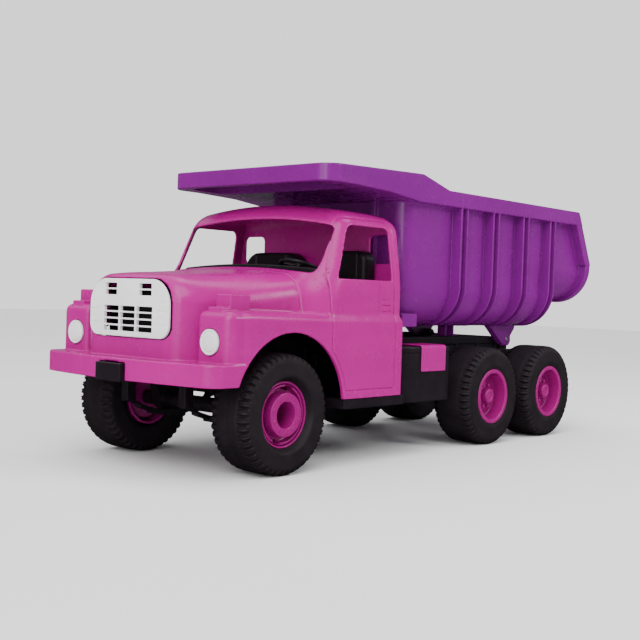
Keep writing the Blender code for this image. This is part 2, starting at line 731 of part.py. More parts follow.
def visor_outline():
    """Side view (y, z) of the canopy over the cab and its wings down to the bed's rim."""
    return [
        (VISOR_Y, 0.2945),
        (0.1000, 0.2945),
        (0.1600, 0.2922),
        (0.2160, 0.2862),
        (0.2960, 0.2862),
        (0.2960, 0.3040),
        (0.2720, 0.3042),
        (0.2195, 0.3181),
        (VISOR_Y, 0.3132),
    ]


def make_hinge_pin():
    y, z = HINGE_YZ
    pin = cylinder("bed_hinge_pin", 0.0030, (-0.0705, 0, 0), (0.0705, 0, 0), "steel", sides=16)
    heads = [
        cylinder(f"pin_head_{s}", 0.0046, (s * 0.0693, 0, 0), (s * 0.0712, 0, 0), sides=16) for s in (1, -1)
    ]
    combine(pin, "UNION", *heads)
    for piece in [pin] + heads:
        piece.location = (0.0, y, z)


# ---------------------------------------------------------------- fasteners


def make_screws():
    """Four cab screws up through the cross members, and one screw a side for board and tank."""
    for end, y in CAB_SCREW_YS.items():
        for side, s in (("left", 1), ("right", -1)):
            screw(f"cab_screw_{end}_{side}", (s * 0.030, y, 0.1065), (0, 0, 1), 0.0275)


def screw(name, head_at, direction, length):
    """A pan-head screw: head at head_at, shank along direction."""
    profile = [(0.0, length), (0.0012, length), (0.0019, length - 0.002), (0.0019, 0.0)]
    profile += [(0.0038, 0.0), (0.0038, -0.0014), (0.0025, -0.0024), (0.0, -0.0024)]
    made = lathe(name, profile, 12, "steel")
    made.location = head_at
    made.rotation_euler = Vector((0, 0, 1)).rotation_difference(Vector(direction)).to_euler()


def main():
    make_cab_body()
    make_grille()
    for side, s in (("left", 1), ("right", -1)):
        make_headlight(side, s)
    make_tow_block()
    make_interior()
    make_steering_wheel()
    make_chassis()
    make_front_springs()
    make_side_gear()
    make_wheels()
    make_bed()
    make_hinge_pin()
    make_screws()


main()
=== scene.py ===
"""Looks of the push-along toy tipper truck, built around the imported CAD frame.

The mouldings are described as distance fields: positive outside a shape, negative inside it, in
metres. Fields are joined and cut with rounded edges, as in a real mould, and skinned with a mesh
whose points and normals then settle on the exact surface. Shapes are written in the frame of the
front axle: y = 0 at its axis, z = 0 on the floor, +X the truck's left side.
"""

import math

import bmesh
import bpy
import numpy as np
from mathutils import Matrix, Vector


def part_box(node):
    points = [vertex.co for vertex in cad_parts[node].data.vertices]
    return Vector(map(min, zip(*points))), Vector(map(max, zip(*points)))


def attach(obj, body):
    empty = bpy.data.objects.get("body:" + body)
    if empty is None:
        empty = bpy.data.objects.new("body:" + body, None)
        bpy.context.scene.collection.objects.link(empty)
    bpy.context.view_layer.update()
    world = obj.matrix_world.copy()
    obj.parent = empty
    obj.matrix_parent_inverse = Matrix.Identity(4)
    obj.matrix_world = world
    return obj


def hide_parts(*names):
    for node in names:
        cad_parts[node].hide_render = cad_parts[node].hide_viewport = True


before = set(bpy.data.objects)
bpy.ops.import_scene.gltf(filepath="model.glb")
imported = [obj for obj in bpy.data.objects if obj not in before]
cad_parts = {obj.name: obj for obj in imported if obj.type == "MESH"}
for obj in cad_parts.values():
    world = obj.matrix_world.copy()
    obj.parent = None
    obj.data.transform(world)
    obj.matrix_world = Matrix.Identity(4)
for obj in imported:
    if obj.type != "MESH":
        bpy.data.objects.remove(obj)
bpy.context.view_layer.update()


def middle(node):
    """The middle of a CAD node's box."""
    low, high = (np.array(corner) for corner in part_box(node))
    return (low + high) / 2


AXLE_Y = float(middle("axle_front")[1])
AXLE_Z = float(middle("axle_front")[2])
MID_Y = float(middle("axle_mid")[1]) - AXLE_Y
TAIL_Y = float(middle("axle_rear")[1]) - AXLE_Y
HINGE_Y = float(middle("bed_hinge_pin")[1]) - AXLE_Y
HINGE_Z = float(middle("bed_hinge_pin")[2])
WHEEL_X = float(middle("tyre_front_left")[0])
WHEEL_R = float(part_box("tyre_front_left")[1][2]) - AXLE_Z
HALF_TREAD = float(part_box("tyre_front_left")[1][0]) - WHEEL_X
SIDE_X = float(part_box("cab_body")[1][0])
REAR_Y = float(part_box("cab_body")[1][1]) - AXLE_Y
SILL_Z = float(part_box("cab_body")[0][2])
RIM_X = float(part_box("dump_bed")[1][0])
BED_REAR = float(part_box("dump_bed")[1][1]) - AXLE_Y
SIDES = (("left", 1), ("right", -1))
WALL = 0.003  # wall of the big mouldings
BORE_R = 0.0031  # holes for the 6 mm rods
OUTBOARD_X = 0.0643  # inner faces of what hangs outside the rails


# --- fields


def both(a, b, r=0.0):
    """The shape inside both fields, its edge rounded to radius r."""
    if np.isscalar(r) and r == 0.0:
        return np.maximum(a, b)
    return np.minimum(np.maximum(a, b), -r) + np.hypot(np.maximum(a + r, 0), np.maximum(b + r, 0))


def either(a, b, r=0.0):
    """The shape inside either field, with a fillet of radius r between them."""
    return -both(-a, -b, r)


def less(a, b, r=0.0):
    """The first shape with the second cut out of it."""
    return both(a, -b, r)


def slab(u, low, high):
    """Between two parallel planes."""
    return both(low - u, u - high)


def brick(x, y, z, low, high, r):
    """A box with every edge rounded to radius r."""
    outside, inside = 0.0, -1.0
    for u, a, b in zip((x, y, z), low, high):
        q = np.abs(u - (a + b) / 2) - (b - a) / 2 + r
        outside = outside + np.maximum(q, 0.0) ** 2
        inside = np.maximum(inside, q)
    return np.sqrt(outside) + np.minimum(inside, 0.0) - r


def plate(u, v, low, high, r):
    """A flat rectangle with round corners, in two coordinates."""
    p = np.abs(u - (low[0] + high[0]) / 2) - (high[0] - low[0]) / 2 + r
    q = np.abs(v - (low[1] + high[1]) / 2) - (high[1] - low[1]) / 2 + r
    return np.hypot(np.maximum(p, 0), np.maximum(q, 0)) + np.minimum(np.maximum(p, q), 0) - r


def outline(points):
    """The exact field of a closed polygon, as a function of two coordinates."""
    points = np.array(points, float)

    def at(u, v):
        nearest, sign = np.inf, 1.0
        for (ax, ay), (bx, by) in zip(points, np.roll(points, -1, axis=0)):
            ex, ey = bx - ax, by - ay
            du, dv = u - ax, v - ay
            t = np.clip((du * ex + dv * ey) / (ex * ex + ey * ey), 0.0, 1.0)
            nearest = np.minimum(nearest, np.hypot(du - ex * t, dv - ey * t))
            crosses = ((ay <= v) & (v < by)) | ((by <= v) & (v < ay))
            left = (ex * dv - ey * du) * np.sign(ey) > 0
            sign = sign * np.where(crosses & left, -1.0, 1.0)
        return nearest * sign

    return at


def spline(*knots):
    """A natural cubic spline through (u, v) knots, level past its ends."""
    u, v = np.array(knots, float).T
    h, n = np.diff(u), len(u)
    rows, right = np.eye(n), np.zeros(n)
    for i in range(1, n - 1):
        rows[i, i - 1 : i + 2] = h[i - 1], 2 * (h[i - 1] + h[i]), h[i]
        right[i] = 6 * ((v[i + 1] - v[i]) / h[i] - (v[i] - v[i - 1]) / h[i - 1])
    m = np.linalg.solve(rows, right)

    def at(q):
        q = np.clip(q, u[0], u[-1])
        i = np.clip(np.searchsorted(u, q) - 1, 0, n - 2)
        s, t = u[i + 1] - q, q - u[i]
        bend = (m[i] * s**3 + m[i + 1] * t**3) / (6 * h[i])
        return bend + (v[i] / h[i] - m[i] * h[i] / 6) * s + (v[i + 1] / h[i] - m[i + 1] * h[i] / 6) * t

    return at


def smooth(share):
    """0 below 0, 1 above 1, and an S-shaped rise between."""
    share = np.clip(share, 0.0, 1.0)
    return share * share * (3.0 - 2.0 * share)


def steepness(curve, q, step=1e-4):
    """What turns an offset along the axis into a distance from a sloping curve."""
    return 1.0 / np.hypot(1.0, (curve(q + step) - curve(q - step)) / (2 * step))


# --- skins


def ticks(low, high, cell, fine=()):
    """Grid lines from low to high, closer together in the (low, high, cell) stretches of fine."""
    marks = [low]
    while marks[-1] < high:
        here = marks[-1]
        near = [c for a, b, c in fine if a <= here < b]
        marks.append(here + min(near + [cell]))
    return np.array(marks)


def net(value, axes):
    """A surface net: one point in each grid cell that the surface crosses, joined into quads."""
    inside = value < 0
    size = np.array(value.shape) - 1
    corners = [np.array((i, j, k)) for i in (0, 1) for j in (0, 1) for k in (0, 1)]
    count = np.zeros(size, np.int8)
    for a in corners:
        count += inside[a[0] : a[0] + size[0], a[1] : a[1] + size[1], a[2] : a[2] + size[2]]
    cells = np.argwhere((count > 0) & (count < 8))
    number = np.full(size, -1, np.int64)
    number[tuple(cells.T)] = np.arange(len(cells))
    total, hits = np.zeros((len(cells), 3)), np.zeros(len(cells))
    for a in corners:
        for axis in np.flatnonzero(a == 0):
            b = a + np.eye(3, dtype=int)[axis]
            start, end = cells + a, cells + b
            va, vb = value[tuple(start.T)], value[tuple(end.T)]
            cross = (va < 0) != (vb < 0)
            share = np.where(cross, va / np.where(cross, va - vb, 1.0), 0.0)
            pa = np.stack([axes[i][start[:, i]] for i in range(3)], 1)
            pb = np.stack([axes[i][end[:, i]] for i in range(3)], 1)
            total += cross[:, None] * (pa + share[:, None] * (pb - pa))
            hits += cross
    quads = []
    for axis in range(3):
        across = [(axis + 1) % 3, (axis + 2) % 3]
        u, v = np.eye(3, dtype=int)[across]
        low = [slice(1, None)] * 3
        low[axis] = slice(0, -1)
        high = list(low)
        high[axis] = slice(1, None)
        flips = inside[tuple(low)] != inside[tuple(high)]
        start = np.argwhere(flips) + 1
        start[:, axis] -= 1
        start = start[(start[:, across] < size[across]).all(axis=1)]
        ring = [number[tuple((start - step).T)] for step in (u + v, v, 0 * u, u)]
        ring = np.stack(ring, 1)
        outward = inside[tuple(start.T)]
        ring[~outward] = ring[~outward][:, ::-1]
        quads.append(ring)
    return total / hits[:, None], np.concatenate(quads)


def slopes(field, points, step=2e-5):
    """The field's gradient at each point."""
    found = np.empty_like(points)
    for axis in range(3):
        move = np.zeros(3)
        move[axis] = step
        found[:, axis] = field(*(points + move).T) - field(*(points - move).T)
    return found / (2 * step)


def settle(field, points, rounds=3):
    """Moves points onto the surface along the field's slope and returns them with their normals."""
    for _ in range(rounds):
        slope = slopes(field, points)
        square = np.maximum((slope**2).sum(1), 0.05)
        step = np.clip(field(*points.T) / square, -0.0008, 0.0008)
        points = points - step[:, None] * slope
    slope = slopes(field, points)
    return points, slope / np.maximum(np.linalg.norm(slope, axis=1, keepdims=True), 1e-9)


def add_object(name, data):
    obj = bpy.data.objects.new(name, data)
    bpy.context.scene.collection.objects.link(obj)
    return obj


def read_points(mesh):
    points = np.empty(len(mesh.vertices) * 3)
    mesh.vertices.foreach_get("co", points)
    return points.reshape(-1, 3)


def skin(name, field, low, high, cell, mirror=True, keep=0.5, fine=((), (), ()), at=(0, AXLE_Y, 0)):
    """Makes an object from a field, mirrored over x = 0 if asked and thinned to the share keep."""
    low = (-cell / 2, *low[1:]) if mirror else low
    axes = [ticks(a, b, cell, f) for a, b, f in zip(low, high, fine)]
    if mirror:
        axes[0] = np.concatenate([-axes[0][:0:-1], axes[0][1:]])
    grid = (axes[0][:, None, None], axes[1][None, :, None], axes[2][None, None, :])
    if mirror:
        half = len(axes[0]) // 2
        value = np.broadcast_to(field(grid[0][half:], *grid[1:]), (half, len(axes[1]), len(axes[2])))
        value = np.concatenate([value[::-1], value])
    else:
        value = np.broadcast_to(field(*grid), [len(a) for a in axes])
    points, quads = net(value.astype(np.float32), axes)
    points, _ = settle(field, points)
    mesh = bpy.data.meshes.new(name)
    mesh.from_pydata(points.tolist(), [], quads.tolist())
    obj = add_object(name, mesh)
    if keep < 1.0:
        thin = obj.modifiers.new("thin", "DECIMATE")
        thin.ratio = keep
        graph = bpy.context.evaluated_depsgraph_get()
        thinned = bpy.data.meshes.new_from_object(obj.evaluated_get(graph))
        obj.modifiers.clear()
        obj.data = thinned
        bpy.data.meshes.remove(mesh)
        mesh = thinned
        points = read_points(mesh)
    points, normals = settle(field, points, 1)
    mesh.vertices.foreach_set("co", points.ravel())
    mesh.polygons.foreach_set("use_smooth", [True] * len(mesh.polygons))
    mesh.update()
    mesh.normals_split_custom_set_from_vertices(normals.tolist())
    mesh.name = name
    mesh.transform(Matrix.Translation(at))
    return obj


# --- materials


class Paint:
    """A few shorthands for building a material's nodes."""

    def __init__(self, name, colour, roughness, metallic=0.0, shine=0.5):
        self.material = bpy.data.materials.new(name)
        self.material.use_nodes = True
        self.tree = self.material.node_tree
        self.shader = self.tree.nodes["Principled BSDF"]
        self.shader.inputs["Base Color"].default_value = (*colour, 1.0)
        self.shader.inputs["Roughness"].default_value = roughness
        self.shader.inputs["Metallic"].default_value = metallic
        self.shader.inputs["Specular IOR Level"].default_value = shine
        self.place = self.tree.nodes.new("ShaderNodeTexCoord").outputs["Object"]

    def noise(self, scale, detail=2.0, roughness=0.5, stretch=None):
        node = self.tree.nodes.new("ShaderNodeTexNoise")
        node.inputs["Scale"].default_value = scale
        node.inputs["Detail"].default_value = detail
        node.inputs["Roughness"].default_value = roughness
        source = self.place
        if stretch:
            mapping = self.tree.nodes.new("ShaderNodeMapping")
            mapping.inputs["Scale"].default_value = stretch
            self.tree.links.new(source, mapping.inputs["Vector"])
            source = mapping.outputs["Vector"]
        self.tree.links.new(source, node.inputs["Vector"])
        return node.outputs["Fac"]

    def ramp(self, source, *stops):
        """Maps a value through (position, colour or grey) stops."""
        node = self.tree.nodes.new("ShaderNodeValToRGB")
        band = node.color_ramp
        while len(band.elements) < len(stops):
            band.elements.new(0.5)
        for element, (position, colour) in zip(band.elements, stops):
            element.position = position
            rgb = colour if isinstance(colour, tuple) else (colour, colour, colour)
            element.color = (*rgb, 1.0)
        self.tree.links.new(source, node.inputs["Fac"])
        return node.outputs["Color"]

    def mix(self, factor, a, b):
        node = self.tree.nodes.new("ShaderNodeMix")
        node.data_type = "RGBA"
        node.inputs["Factor"].default_value = factor
        self.tree.links.new(a, node.inputs["A"])
        self.tree.links.new(b, node.inputs["B"])
        return node.outputs["Result"]

    def bump(self, height, strength, distance, below=None):
        node = self.tree.nodes.new("ShaderNodeBump")
        node.inputs["Strength"].default_value = strength
        node.inputs["Distance"].default_value = distance
        self.tree.links.new(height, node.inputs["Height"])
        if below is not None:
            self.tree.links.new(below, node.inputs["Normal"])
        return node.outputs["Normal"]

    def connect(self, source, socket):
        self.tree.links.new(source, self.shader.inputs[socket])


def scaled(colour, share):
    return tuple(min(c * share, 1.0) for c in colour)


def moulded_plastic(name, colour, roughness, grain=0.05):
    """Polished polypropylene: a faint flow mottle, fine handling scratches and a soft orange peel."""
    paint = Paint(name, colour, roughness, shine=0.27)
    mottle = paint.ramp(paint.noise(9.0, 3.0), (0.3, scaled(colour, 0.93)), (0.7, scaled(colour, 1.05)))
    flow = paint.noise(26.0, 4.0, 0.6, stretch=(1.0, 0.25, 1.6))
    streaks = paint.ramp(flow, (0.35, scaled(colour, 0.9)), (0.65, scaled(colour, 1.1)))
    paint.connect(paint.mix(0.35, mottle, streaks), "Base Color")
    rubbed = paint.ramp(paint.noise(38.0, 6.0, 0.65), (0.40, roughness - 0.03), (0.72, roughness + 0.10))
    paint.connect(rubbed, "Roughness")
    peel = paint.bump(paint.noise(240.0, 2.0), grain, 0.0003)
    scratch = paint.bump(paint.noise(900.0, 1.0, 0.5, stretch=(1.0, 0.08, 1.0)), grain * 0.4, 0.0001, peel)
    paint.connect(scratch, "Normal")
    return paint.material


def satin_black(name, colour, roughness):
    """Black plastic with a fine spark-eroded grain and pale scuffs."""
    paint = Paint(name, colour, roughness, shine=0.17)
    dust = paint.ramp(paint.noise(55.0, 5.0, 0.7), (0.45, colour), (0.85, scaled(colour, 1.9)))
    paint.connect(dust, "Base Color")
    sheen = paint.ramp(paint.noise(30.0, 4.0), (0.3, roughness - 0.05), (0.75, roughness + 0.10))
    paint.connect(sheen, "Roughness")
    grain = paint.bump(paint.noise(1600.0, 2.0), 0.25, 0.0001)
    paint.connect(paint.bump(paint.noise(180.0, 2.0), 0.10, 0.0003, grain), "Normal")
    return paint.material


def tyre_rubber(name, colour):
    """Blow-moulded soft black plastic: dull, with a powdery bloom in patches."""
    paint = Paint(name, colour, 0.50, shine=0.16)
    bloom = paint.ramp(paint.noise(48.0, 6.0, 0.7), (0.35, scaled(colour, 0.8)), (0.8, scaled(colour, 1.5)))
    paint.connect(bloom, "Base Color")
    paint.connect(paint.ramp(paint.noise(70.0, 4.0), (0.3, 0.52), (0.75, 0.72)), "Roughness")
    pores = paint.bump(paint.noise(1300.0, 3.0), 0.35, 0.00015)
    paint.connect(paint.bump(paint.noise(140.0, 3.0), 0.25, 0.0005, pores), "Normal")
    return paint.material


def bright_steel(name):
    """Drawn wire, brushed along its length."""
    paint = Paint(name, (0.56, 0.56, 0.57), 0.32, 1.0)
    drawn = paint.noise(600.0, 3.0, 0.6, stretch=(0.05, 1.0, 1.0))
    paint.connect(paint.ramp(drawn, (0.3, 0.22), (0.8, 0.42)), "Roughness")
    paint.connect(paint.bump(drawn, 0.15, 0.0001), "Normal")
    return paint.material


PINK = (0.372, 0.0020, 0.192)
PURPLE = (0.158, 0.0030, 0.175)
RIM_PINK = (0.250, 0.0020, 0.128)
BLACK = (0.0085, 0.0058, 0.0088)
TYRE = (0.0105, 0.0072, 0.0098)
MATERIALS = {
    "pink_plastic": moulded_plastic("pink_plastic", PINK, 0.24),
    "rim_plastic": moulded_plastic("rim_plastic", RIM_PINK, 0.27),
    "purple_plastic": moulded_plastic("purple_plastic", PURPLE, 0.24),
    "white_plastic": moulded_plastic("white_plastic", (0.80, 0.80, 0.81), 0.33, 0.08),
    "black_plastic": satin_black("black_plastic", BLACK, 0.38),
    "tyre": tyre_rubber("tyre_rubber", TYRE),
    "steel": bright_steel("steel"),
}


def dress(obj, material, body, node):
    """Gives a piece its material, the body it rides on, and the CAD node it stands for."""
    obj.data.materials.clear()
    obj.data.materials.append(MATERIALS[material])
    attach(obj, body)
    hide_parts(node)


# --- cab and bonnet

NOSE_Y = -0.0965
POD_Y = -0.083
ARCH_Y, ARCH_Z, ARCH_R = 0.0035, 0.063, 0.0775
LAMP_X, LAMP_Z = 0.103, 0.131
BODY_X = SIDE_X - 0.0012  # the side panels; the beads round the arches stand out to SIDE_X
FLANK_X = 0.1  # beyond it lie the doors and the fenders' outer faces
BUMPER_Z = (0.090, 0.1113)
WAIST_Z = 0.1957
DOOR_Y = (0.0615, 0.1655)
SCREEN_X = 0.104  # half the windscreen
BONNET_END = 0.120  # inside the cab, clear of its rear wall

# The bonnet's half width, top and shoulder radius along y, and the cab's half width up z.
bonnet_half = spline(
    (-0.100, 0.0560), (NOSE_Y, 0.0610), (-0.089, 0.0695), (-0.078, 0.0770),
    (-0.055, 0.0885), (-0.02, 0.0980), (0.03, 0.1062), (0.10, 0.1130),
)
bonnet_top = spline(
    (NOSE_Y, 0.1925), (-0.085, 0.1943), (-0.055, 0.1963), (-0.02, 0.1985), (0.03, 0.2018), (0.06, 0.2045)
)
bonnet_shoulder = spline(
    (NOSE_Y, 0.022), (-0.080, 0.025), (-0.055, 0.030), (-0.02, 0.029), (0.03, 0.025), (0.06, 0.022)
)
cab_half = spline(
    (0.140, 0.1272), (0.170, 0.1271), (0.1955, 0.1263), (0.2235, 0.1226), (0.2515, 0.1184), (0.280, 0.1138)
)


def bonnet(x, y, z):
    half = bonnet_half(y)
    side = (np.abs(x) - half) * steepness(bonnet_half, y)
    top = z - bonnet_top(y) + 0.0045 * (x / half) ** 2
    front = both(both(side, top, bonnet_shoulder(y)), NOSE_Y - y, 0.007)
    return both(front, y - BONNET_END)


def greenhouse(x, y, z):
    """The cab above the waist, from the raked windscreen to the rear wall, and the crowned roof."""
    side = (np.abs(x) - cab_half(z)) * 0.99
    rake = 0.384
    front = (0.0545 + rake * (z - 0.1955) + 0.0035 * (x / 0.12) ** 2 - y) * math.cos(math.atan(rake))
    rear = y - 0.1775
    roof = z - (0.2764 - 0.0075 * (x / 0.095) ** 2 - 0.7 * (y - 0.118) ** 2)
    plan = both(both(side, front, 0.021), rear, 0.0035)
    return both(plan, roof, 0.015)


def lower_body(x, y, z):
    """Fenders, headlight pods and doors, solid down to the floor."""
    ax = np.abs(x)
    main = both(ax - BODY_X, -0.066 - y, 0.011)
    pod = both(both(ax - BODY_X, POD_Y - y, 0.011), 0.084 - ax, 0.006)
    plan = both(either(main, pod, 0.004), y - REAR_Y, 0.002)
    top = z - np.interp(y, (-0.080, 0.063), (0.1603, 0.1572))
    return both(plan, top, 0.008)


def fender_steps(x, y, z):
    """The two stacked blocks on each headlight pod."""
    ax = np.abs(x)
    low = brick(ax, y, z, (0.060, -0.0800, 0.140), (0.1150, -0.0540, 0.1640), 0.0012)
    high = brick(ax, y, z, (0.060, -0.0700, 0.140), (0.1157, -0.0440, 0.1760), 0.0012)
    inner = 0.0955 - ax
    return both(either(low, high, 0.0008), inner, 0.0012)


def bumper(x, y, z):
    """The bowed bumper's solid, up to its flat top."""
    bow = (-0.1160 + x**2 / 1.2 - y) * 0.99
    plan = both(both(bow, np.abs(x) - SIDE_X + 0.0003, 0.014), y + 0.050)
    return both(plan, z - BUMPER_Z[1], 0.0018)


def arch_gap(y, z):
    """Distance outside the wheel arch."""
    return np.hypot(y - ARCH_Y, z - ARCH_Z) - ARCH_R


def beads(x, y, z):
    """The raised bead round each arch and along the sill."""
    ax = np.abs(x)
    ring = both(np.abs(arch_gap(y, z) - 0.0014) - 0.0014, 0.112 - z - 10 * np.maximum(y, 0))
    sill = both(both(SILL_Z - z, z - SILL_Z - 0.0026), both(0.078 - y, y - REAR_Y))
    return both(both(either(ring, sill, 0.001), ax - SIDE_X, 0.0009), 0.1262 - ax)


def pillar_line(y, z, waist_y):
    """Distance in front of the slanting windscreen pillar, from where it crosses the waist."""
    return -0.9347 * (y - waist_y) + 0.3555 * (z - WAIST_Z)


def door_line(y, z):
    """Positive outside the door, zero on its seam."""
    front = np.maximum(DOOR_Y[0] - y, pillar_line(y, z, DOOR_Y[0]))
    door = both(both(front, y - DOOR_Y[1], 0.004), z - 0.2600, 0.007)
    return np.maximum(both(door, 0.0800 - z, 0.002), 0.0050 - arch_gap(y, z))


def windscreen(x, y, z):
    ax = np.abs(x)
    sill = 0.2056 - 0.0052 * (x / SCREEN_X) ** 2 - z
    head = z - 0.2590 + 0.0080 * (x / SCREEN_X) ** 2
    side = ax - 0.1068 - 0.045 * (z - 0.2004)
    return both(both(both(side, head, 0.006), sill, 0.005), y - 0.125)


def door_window(x, y, z):
    shape = both(both(pillar_line(y, z, 0.0727), z - 0.2522, 0.006), y - 0.1615, 0.008)
    return both(both(shape, WAIST_Z - z, 0.002), 0.095 - np.abs(x))


def grille_shape(x, z, grow=0.0):
    upper = both(np.abs(x) - 0.0605 - grow, z - 0.1880 - grow, 0.026)
    return both(upper, 0.1310 - grow - z, 0.013)


def cab_outside(x, y, z):
    cab = either(bonnet(x, y, z), greenhouse(x, y, z), 0.022)
    cab = either(cab, lower_body(x, y, z), 0.004)
    cab = either(cab, fender_steps(x, y, z), 0.0012)
    return either(cab, bumper(x, y, z), 0.0015)


def cab_body(x, y, z):
    """The moulding: door and bonnet seams, pressed lower door, handle lines, then every opening."""
    ax = np.abs(x)
    flank = ax > FLANK_X
    outside = cab_outside(x, y, z)
    depth = np.interp(z, (0.190, 0.205), (0.0018, 0.0007))
    width = np.interp(z, (0.190, 0.205), (0.00065, 0.0011))
    groove = depth * np.exp(-((door_line(y, z) / width) ** 2))
    seam = np.where(flank & (z > 0.074) & (y > 0.02), groove, 0.0)
    bonnet_seam = np.where(z > 0.160, np.exp(-(((y - 0.034) / 0.00065) ** 2)), 0.0)
    press = np.where(flank & (y > DOOR_Y[0]), 0.0009 * smooth((0.1560 - z) / 0.0045), 0.0)
    worked = outside - press + seam + 0.0013 * bonnet_seam
    shell = np.maximum(worked, -(outside + WALL))
    shell = either(shell, beads(x, y, z), 0.0006)
    for level in (0.1625, 0.1690, 0.1755):
        mark = both(np.abs(z - level) - 0.0004, slab(y, 0.1455, 0.1600))
        shell = shell + np.where(flank, 0.0012 * smooth(0.5 - mark / 0.0010), 0.0)
    bottom = np.where(y < -0.03, BUMPER_Z[0], SILL_Z) - z
    shell = both(shell, bottom, 0.0009)
    shell = less(shell, arch_gap(y, z) + 0 * x, 0.0009)
    shell = less(shell, windscreen(x, y, z), 0.0011)
    shell = less(shell, door_window(x, y, z), 0.0009)
    rear_light = both(plate(ax, z, (0.082, 0.2145), (0.1140, 0.2465), 0.006), 0.160 - y)
    shell = less(shell, rear_light, 0.0008)
    shell = less(shell, both(grille_shape(x, z, 0.0007), y + 0.088), 0.0008)
    lamp = both(np.hypot(ax - LAMP_X, z - LAMP_Z) - 0.0127, y - POD_Y - 0.0012)
    shell = less(shell, lamp, 0.0005)
    rails = plate(x, z, (-0.076, 0.0), (0.076, 0.1313), 0.002)
    shell = less(shell, both(rails, 0.170 - y), 0.0005)
    tow = plate(x, z, (-0.0196, 0.05), (0.0196, 0.1072), 0.001)
    return less(shell, both(tow, y + 0.105), 0.0004)


def make_cab():
    fine_x = ((0.1245, SIDE_X + 0.001, 0.0007),)
    fine_y = (
        (-0.1000, -0.0800, 0.0009),
        (0.0328, 0.0354, 0.0005),
        (0.0600, 0.0632, 0.0005),
        (0.1636, 0.1668, 0.0005),
    )
    fine_z = ((SILL_Z - 0.001, SILL_Z + 0.0035, 0.0007), (0.0785, 0.0815, 0.0005), (0.165, 0.1745, 0.0007))
    low, high = (0.0, -0.1190, SILL_Z - 0.003), (SIDE_X + 0.002, REAR_Y + 0.003, 0.279)
    cab = skin("cab_shell", cab_body, low, high, 0.0014, keep=0.45, fine=(fine_x, fine_y, fine_z))
    dress(cab, "pink_plastic", "truck", "cab_body")


# --- grille, lamps, tow block


SLOT_PITCH = 0.0066


def grille(x, y, z):
    """A bowed plate with two rows of slots above four, and moulded lines at its ends."""
    plain = both(grille_shape(x, z), both(-0.0985 + 0.25 * x**2 - y, y + 0.0945), 0.0010)
    slots = []
    for row in range(2):
        low, high = (level - SLOT_PITCH * row for level in (0.1786, 0.1836))
        slots.append(plate(np.abs(x), z, (0.0172, low), (0.0352, high), 0.0006))
    for row in range(4):
        high = 0.1611 - SLOT_PITCH * row
        slots.append(plate(np.abs(x), z, (0.0136, high - 0.0050), (0.0368, high), 0.0006))
        slots.append(plate(x, z, (-0.0112, high - 0.0050), (0.0112, high), 0.0006))
    for slot in slots:
        plain = less(plain, slot, 0.0003)
    for level in (0.1656, 0.1575, 0.1507, 0.1440):
        line = np.where(np.abs(np.abs(x) - 0.0505) < 0.0070, np.exp(-(((z - level) / 0.0004) ** 2)), 0.0)
        plain = plain + 0.0006 * line
    return plain


def lamp(s):
    """A domed round lens with a groove inside its edge, on the side s."""

    def at(x, y, z):
        r = np.hypot(x - s * LAMP_X, z - LAMP_Z)
        lens = both(r - 0.0122, both(POD_Y - 0.0026 + 6.0 * r**2 - y, y - POD_Y - 0.0008), 0.0006)
        return lens + 0.0008 * np.exp(-(((r - 0.0098) / 0.0006) ** 2))

    return at


def tow_block(x, y, z):
    block = brick(x, y, z, (-0.0190, -0.1209, 0.0885), (0.0190, -0.0760, 0.1065), 0.0013)
    notch = both(plate(x, y, (-0.0135, -0.1172), (0.0135, -0.108), 0.001), 0.0975 - z)
    return less(block, notch, 0.0005)


def make_front_trim():
    piece = skin("grille_insert", grille, (0.0, -0.100, 0.129), (0.063, -0.090, 0.190), 0.0006)
    dress(piece, "white_plastic", "truck", "grille")
    for side, s in SIDES:
        low = (s * LAMP_X - 0.0135, POD_Y - 0.004, LAMP_Z - 0.0135)
        high = (s * LAMP_X + 0.0135, POD_Y + 0.002, LAMP_Z + 0.0135)
        piece = skin(f"lamp_{side}", lamp(s), low, high, 0.00045, mirror=False)
        dress(piece, "white_plastic", "truck", f"headlight_{side}")
    piece = skin("tow_coupling", tow_block, (0.0, -0.123, 0.087), (0.021, -0.074, 0.109), 0.0008)
    dress(piece, "black_plastic", "truck", "tow_block")


# --- cab interior

STEER_X, STEER_Y, STEER_Z = 0.0480, 0.0970, 0.2085
STEER_R = 0.0205
STEER_TILT = math.radians(17.0)
DIAL_XS, DIAL_Z = (0.030, 0.066), 0.1800
dash_section = outline([
    (0.0660, 0.1348), (0.0960, 0.1348), (0.0960, 0.1780), (0.0790, 0.1985), (0.0660, 0.1985),
])


def dashboard(x, y, z):
    """Dashboard with a crown behind the windscreen, two round dials and the steering column."""
    body = both(dash_section(y, z), np.abs(x) - 0.1130, 0.0015)
    crown = both(z - 0.2096 + 0.0050 * (x / SCREEN_X) ** 2, np.abs(x) - SCREEN_X, 0.003)
    crown = both(crown, both(0.0668 - y, both(y - 0.0790, 0.19 - z)), 0.0015)
    whole = either(body, crown, 0.004)
    for dial_x in DIAL_XS:
        face = np.hypot(x - dial_x, z - DIAL_Z) - 0.0095
        whole = less(whole, both(face, 0.0905 - y), 0.0008)
    column_y = STEER_Y + (z - STEER_Z) * math.tan(STEER_TILT)
    column = both(np.hypot(x - STEER_X, (y - column_y) * math.cos(STEER_TILT)) - 0.0045, z - 0.2050, 0.001)
    return either(whole, both(column, 0.165 - z), 0.003)


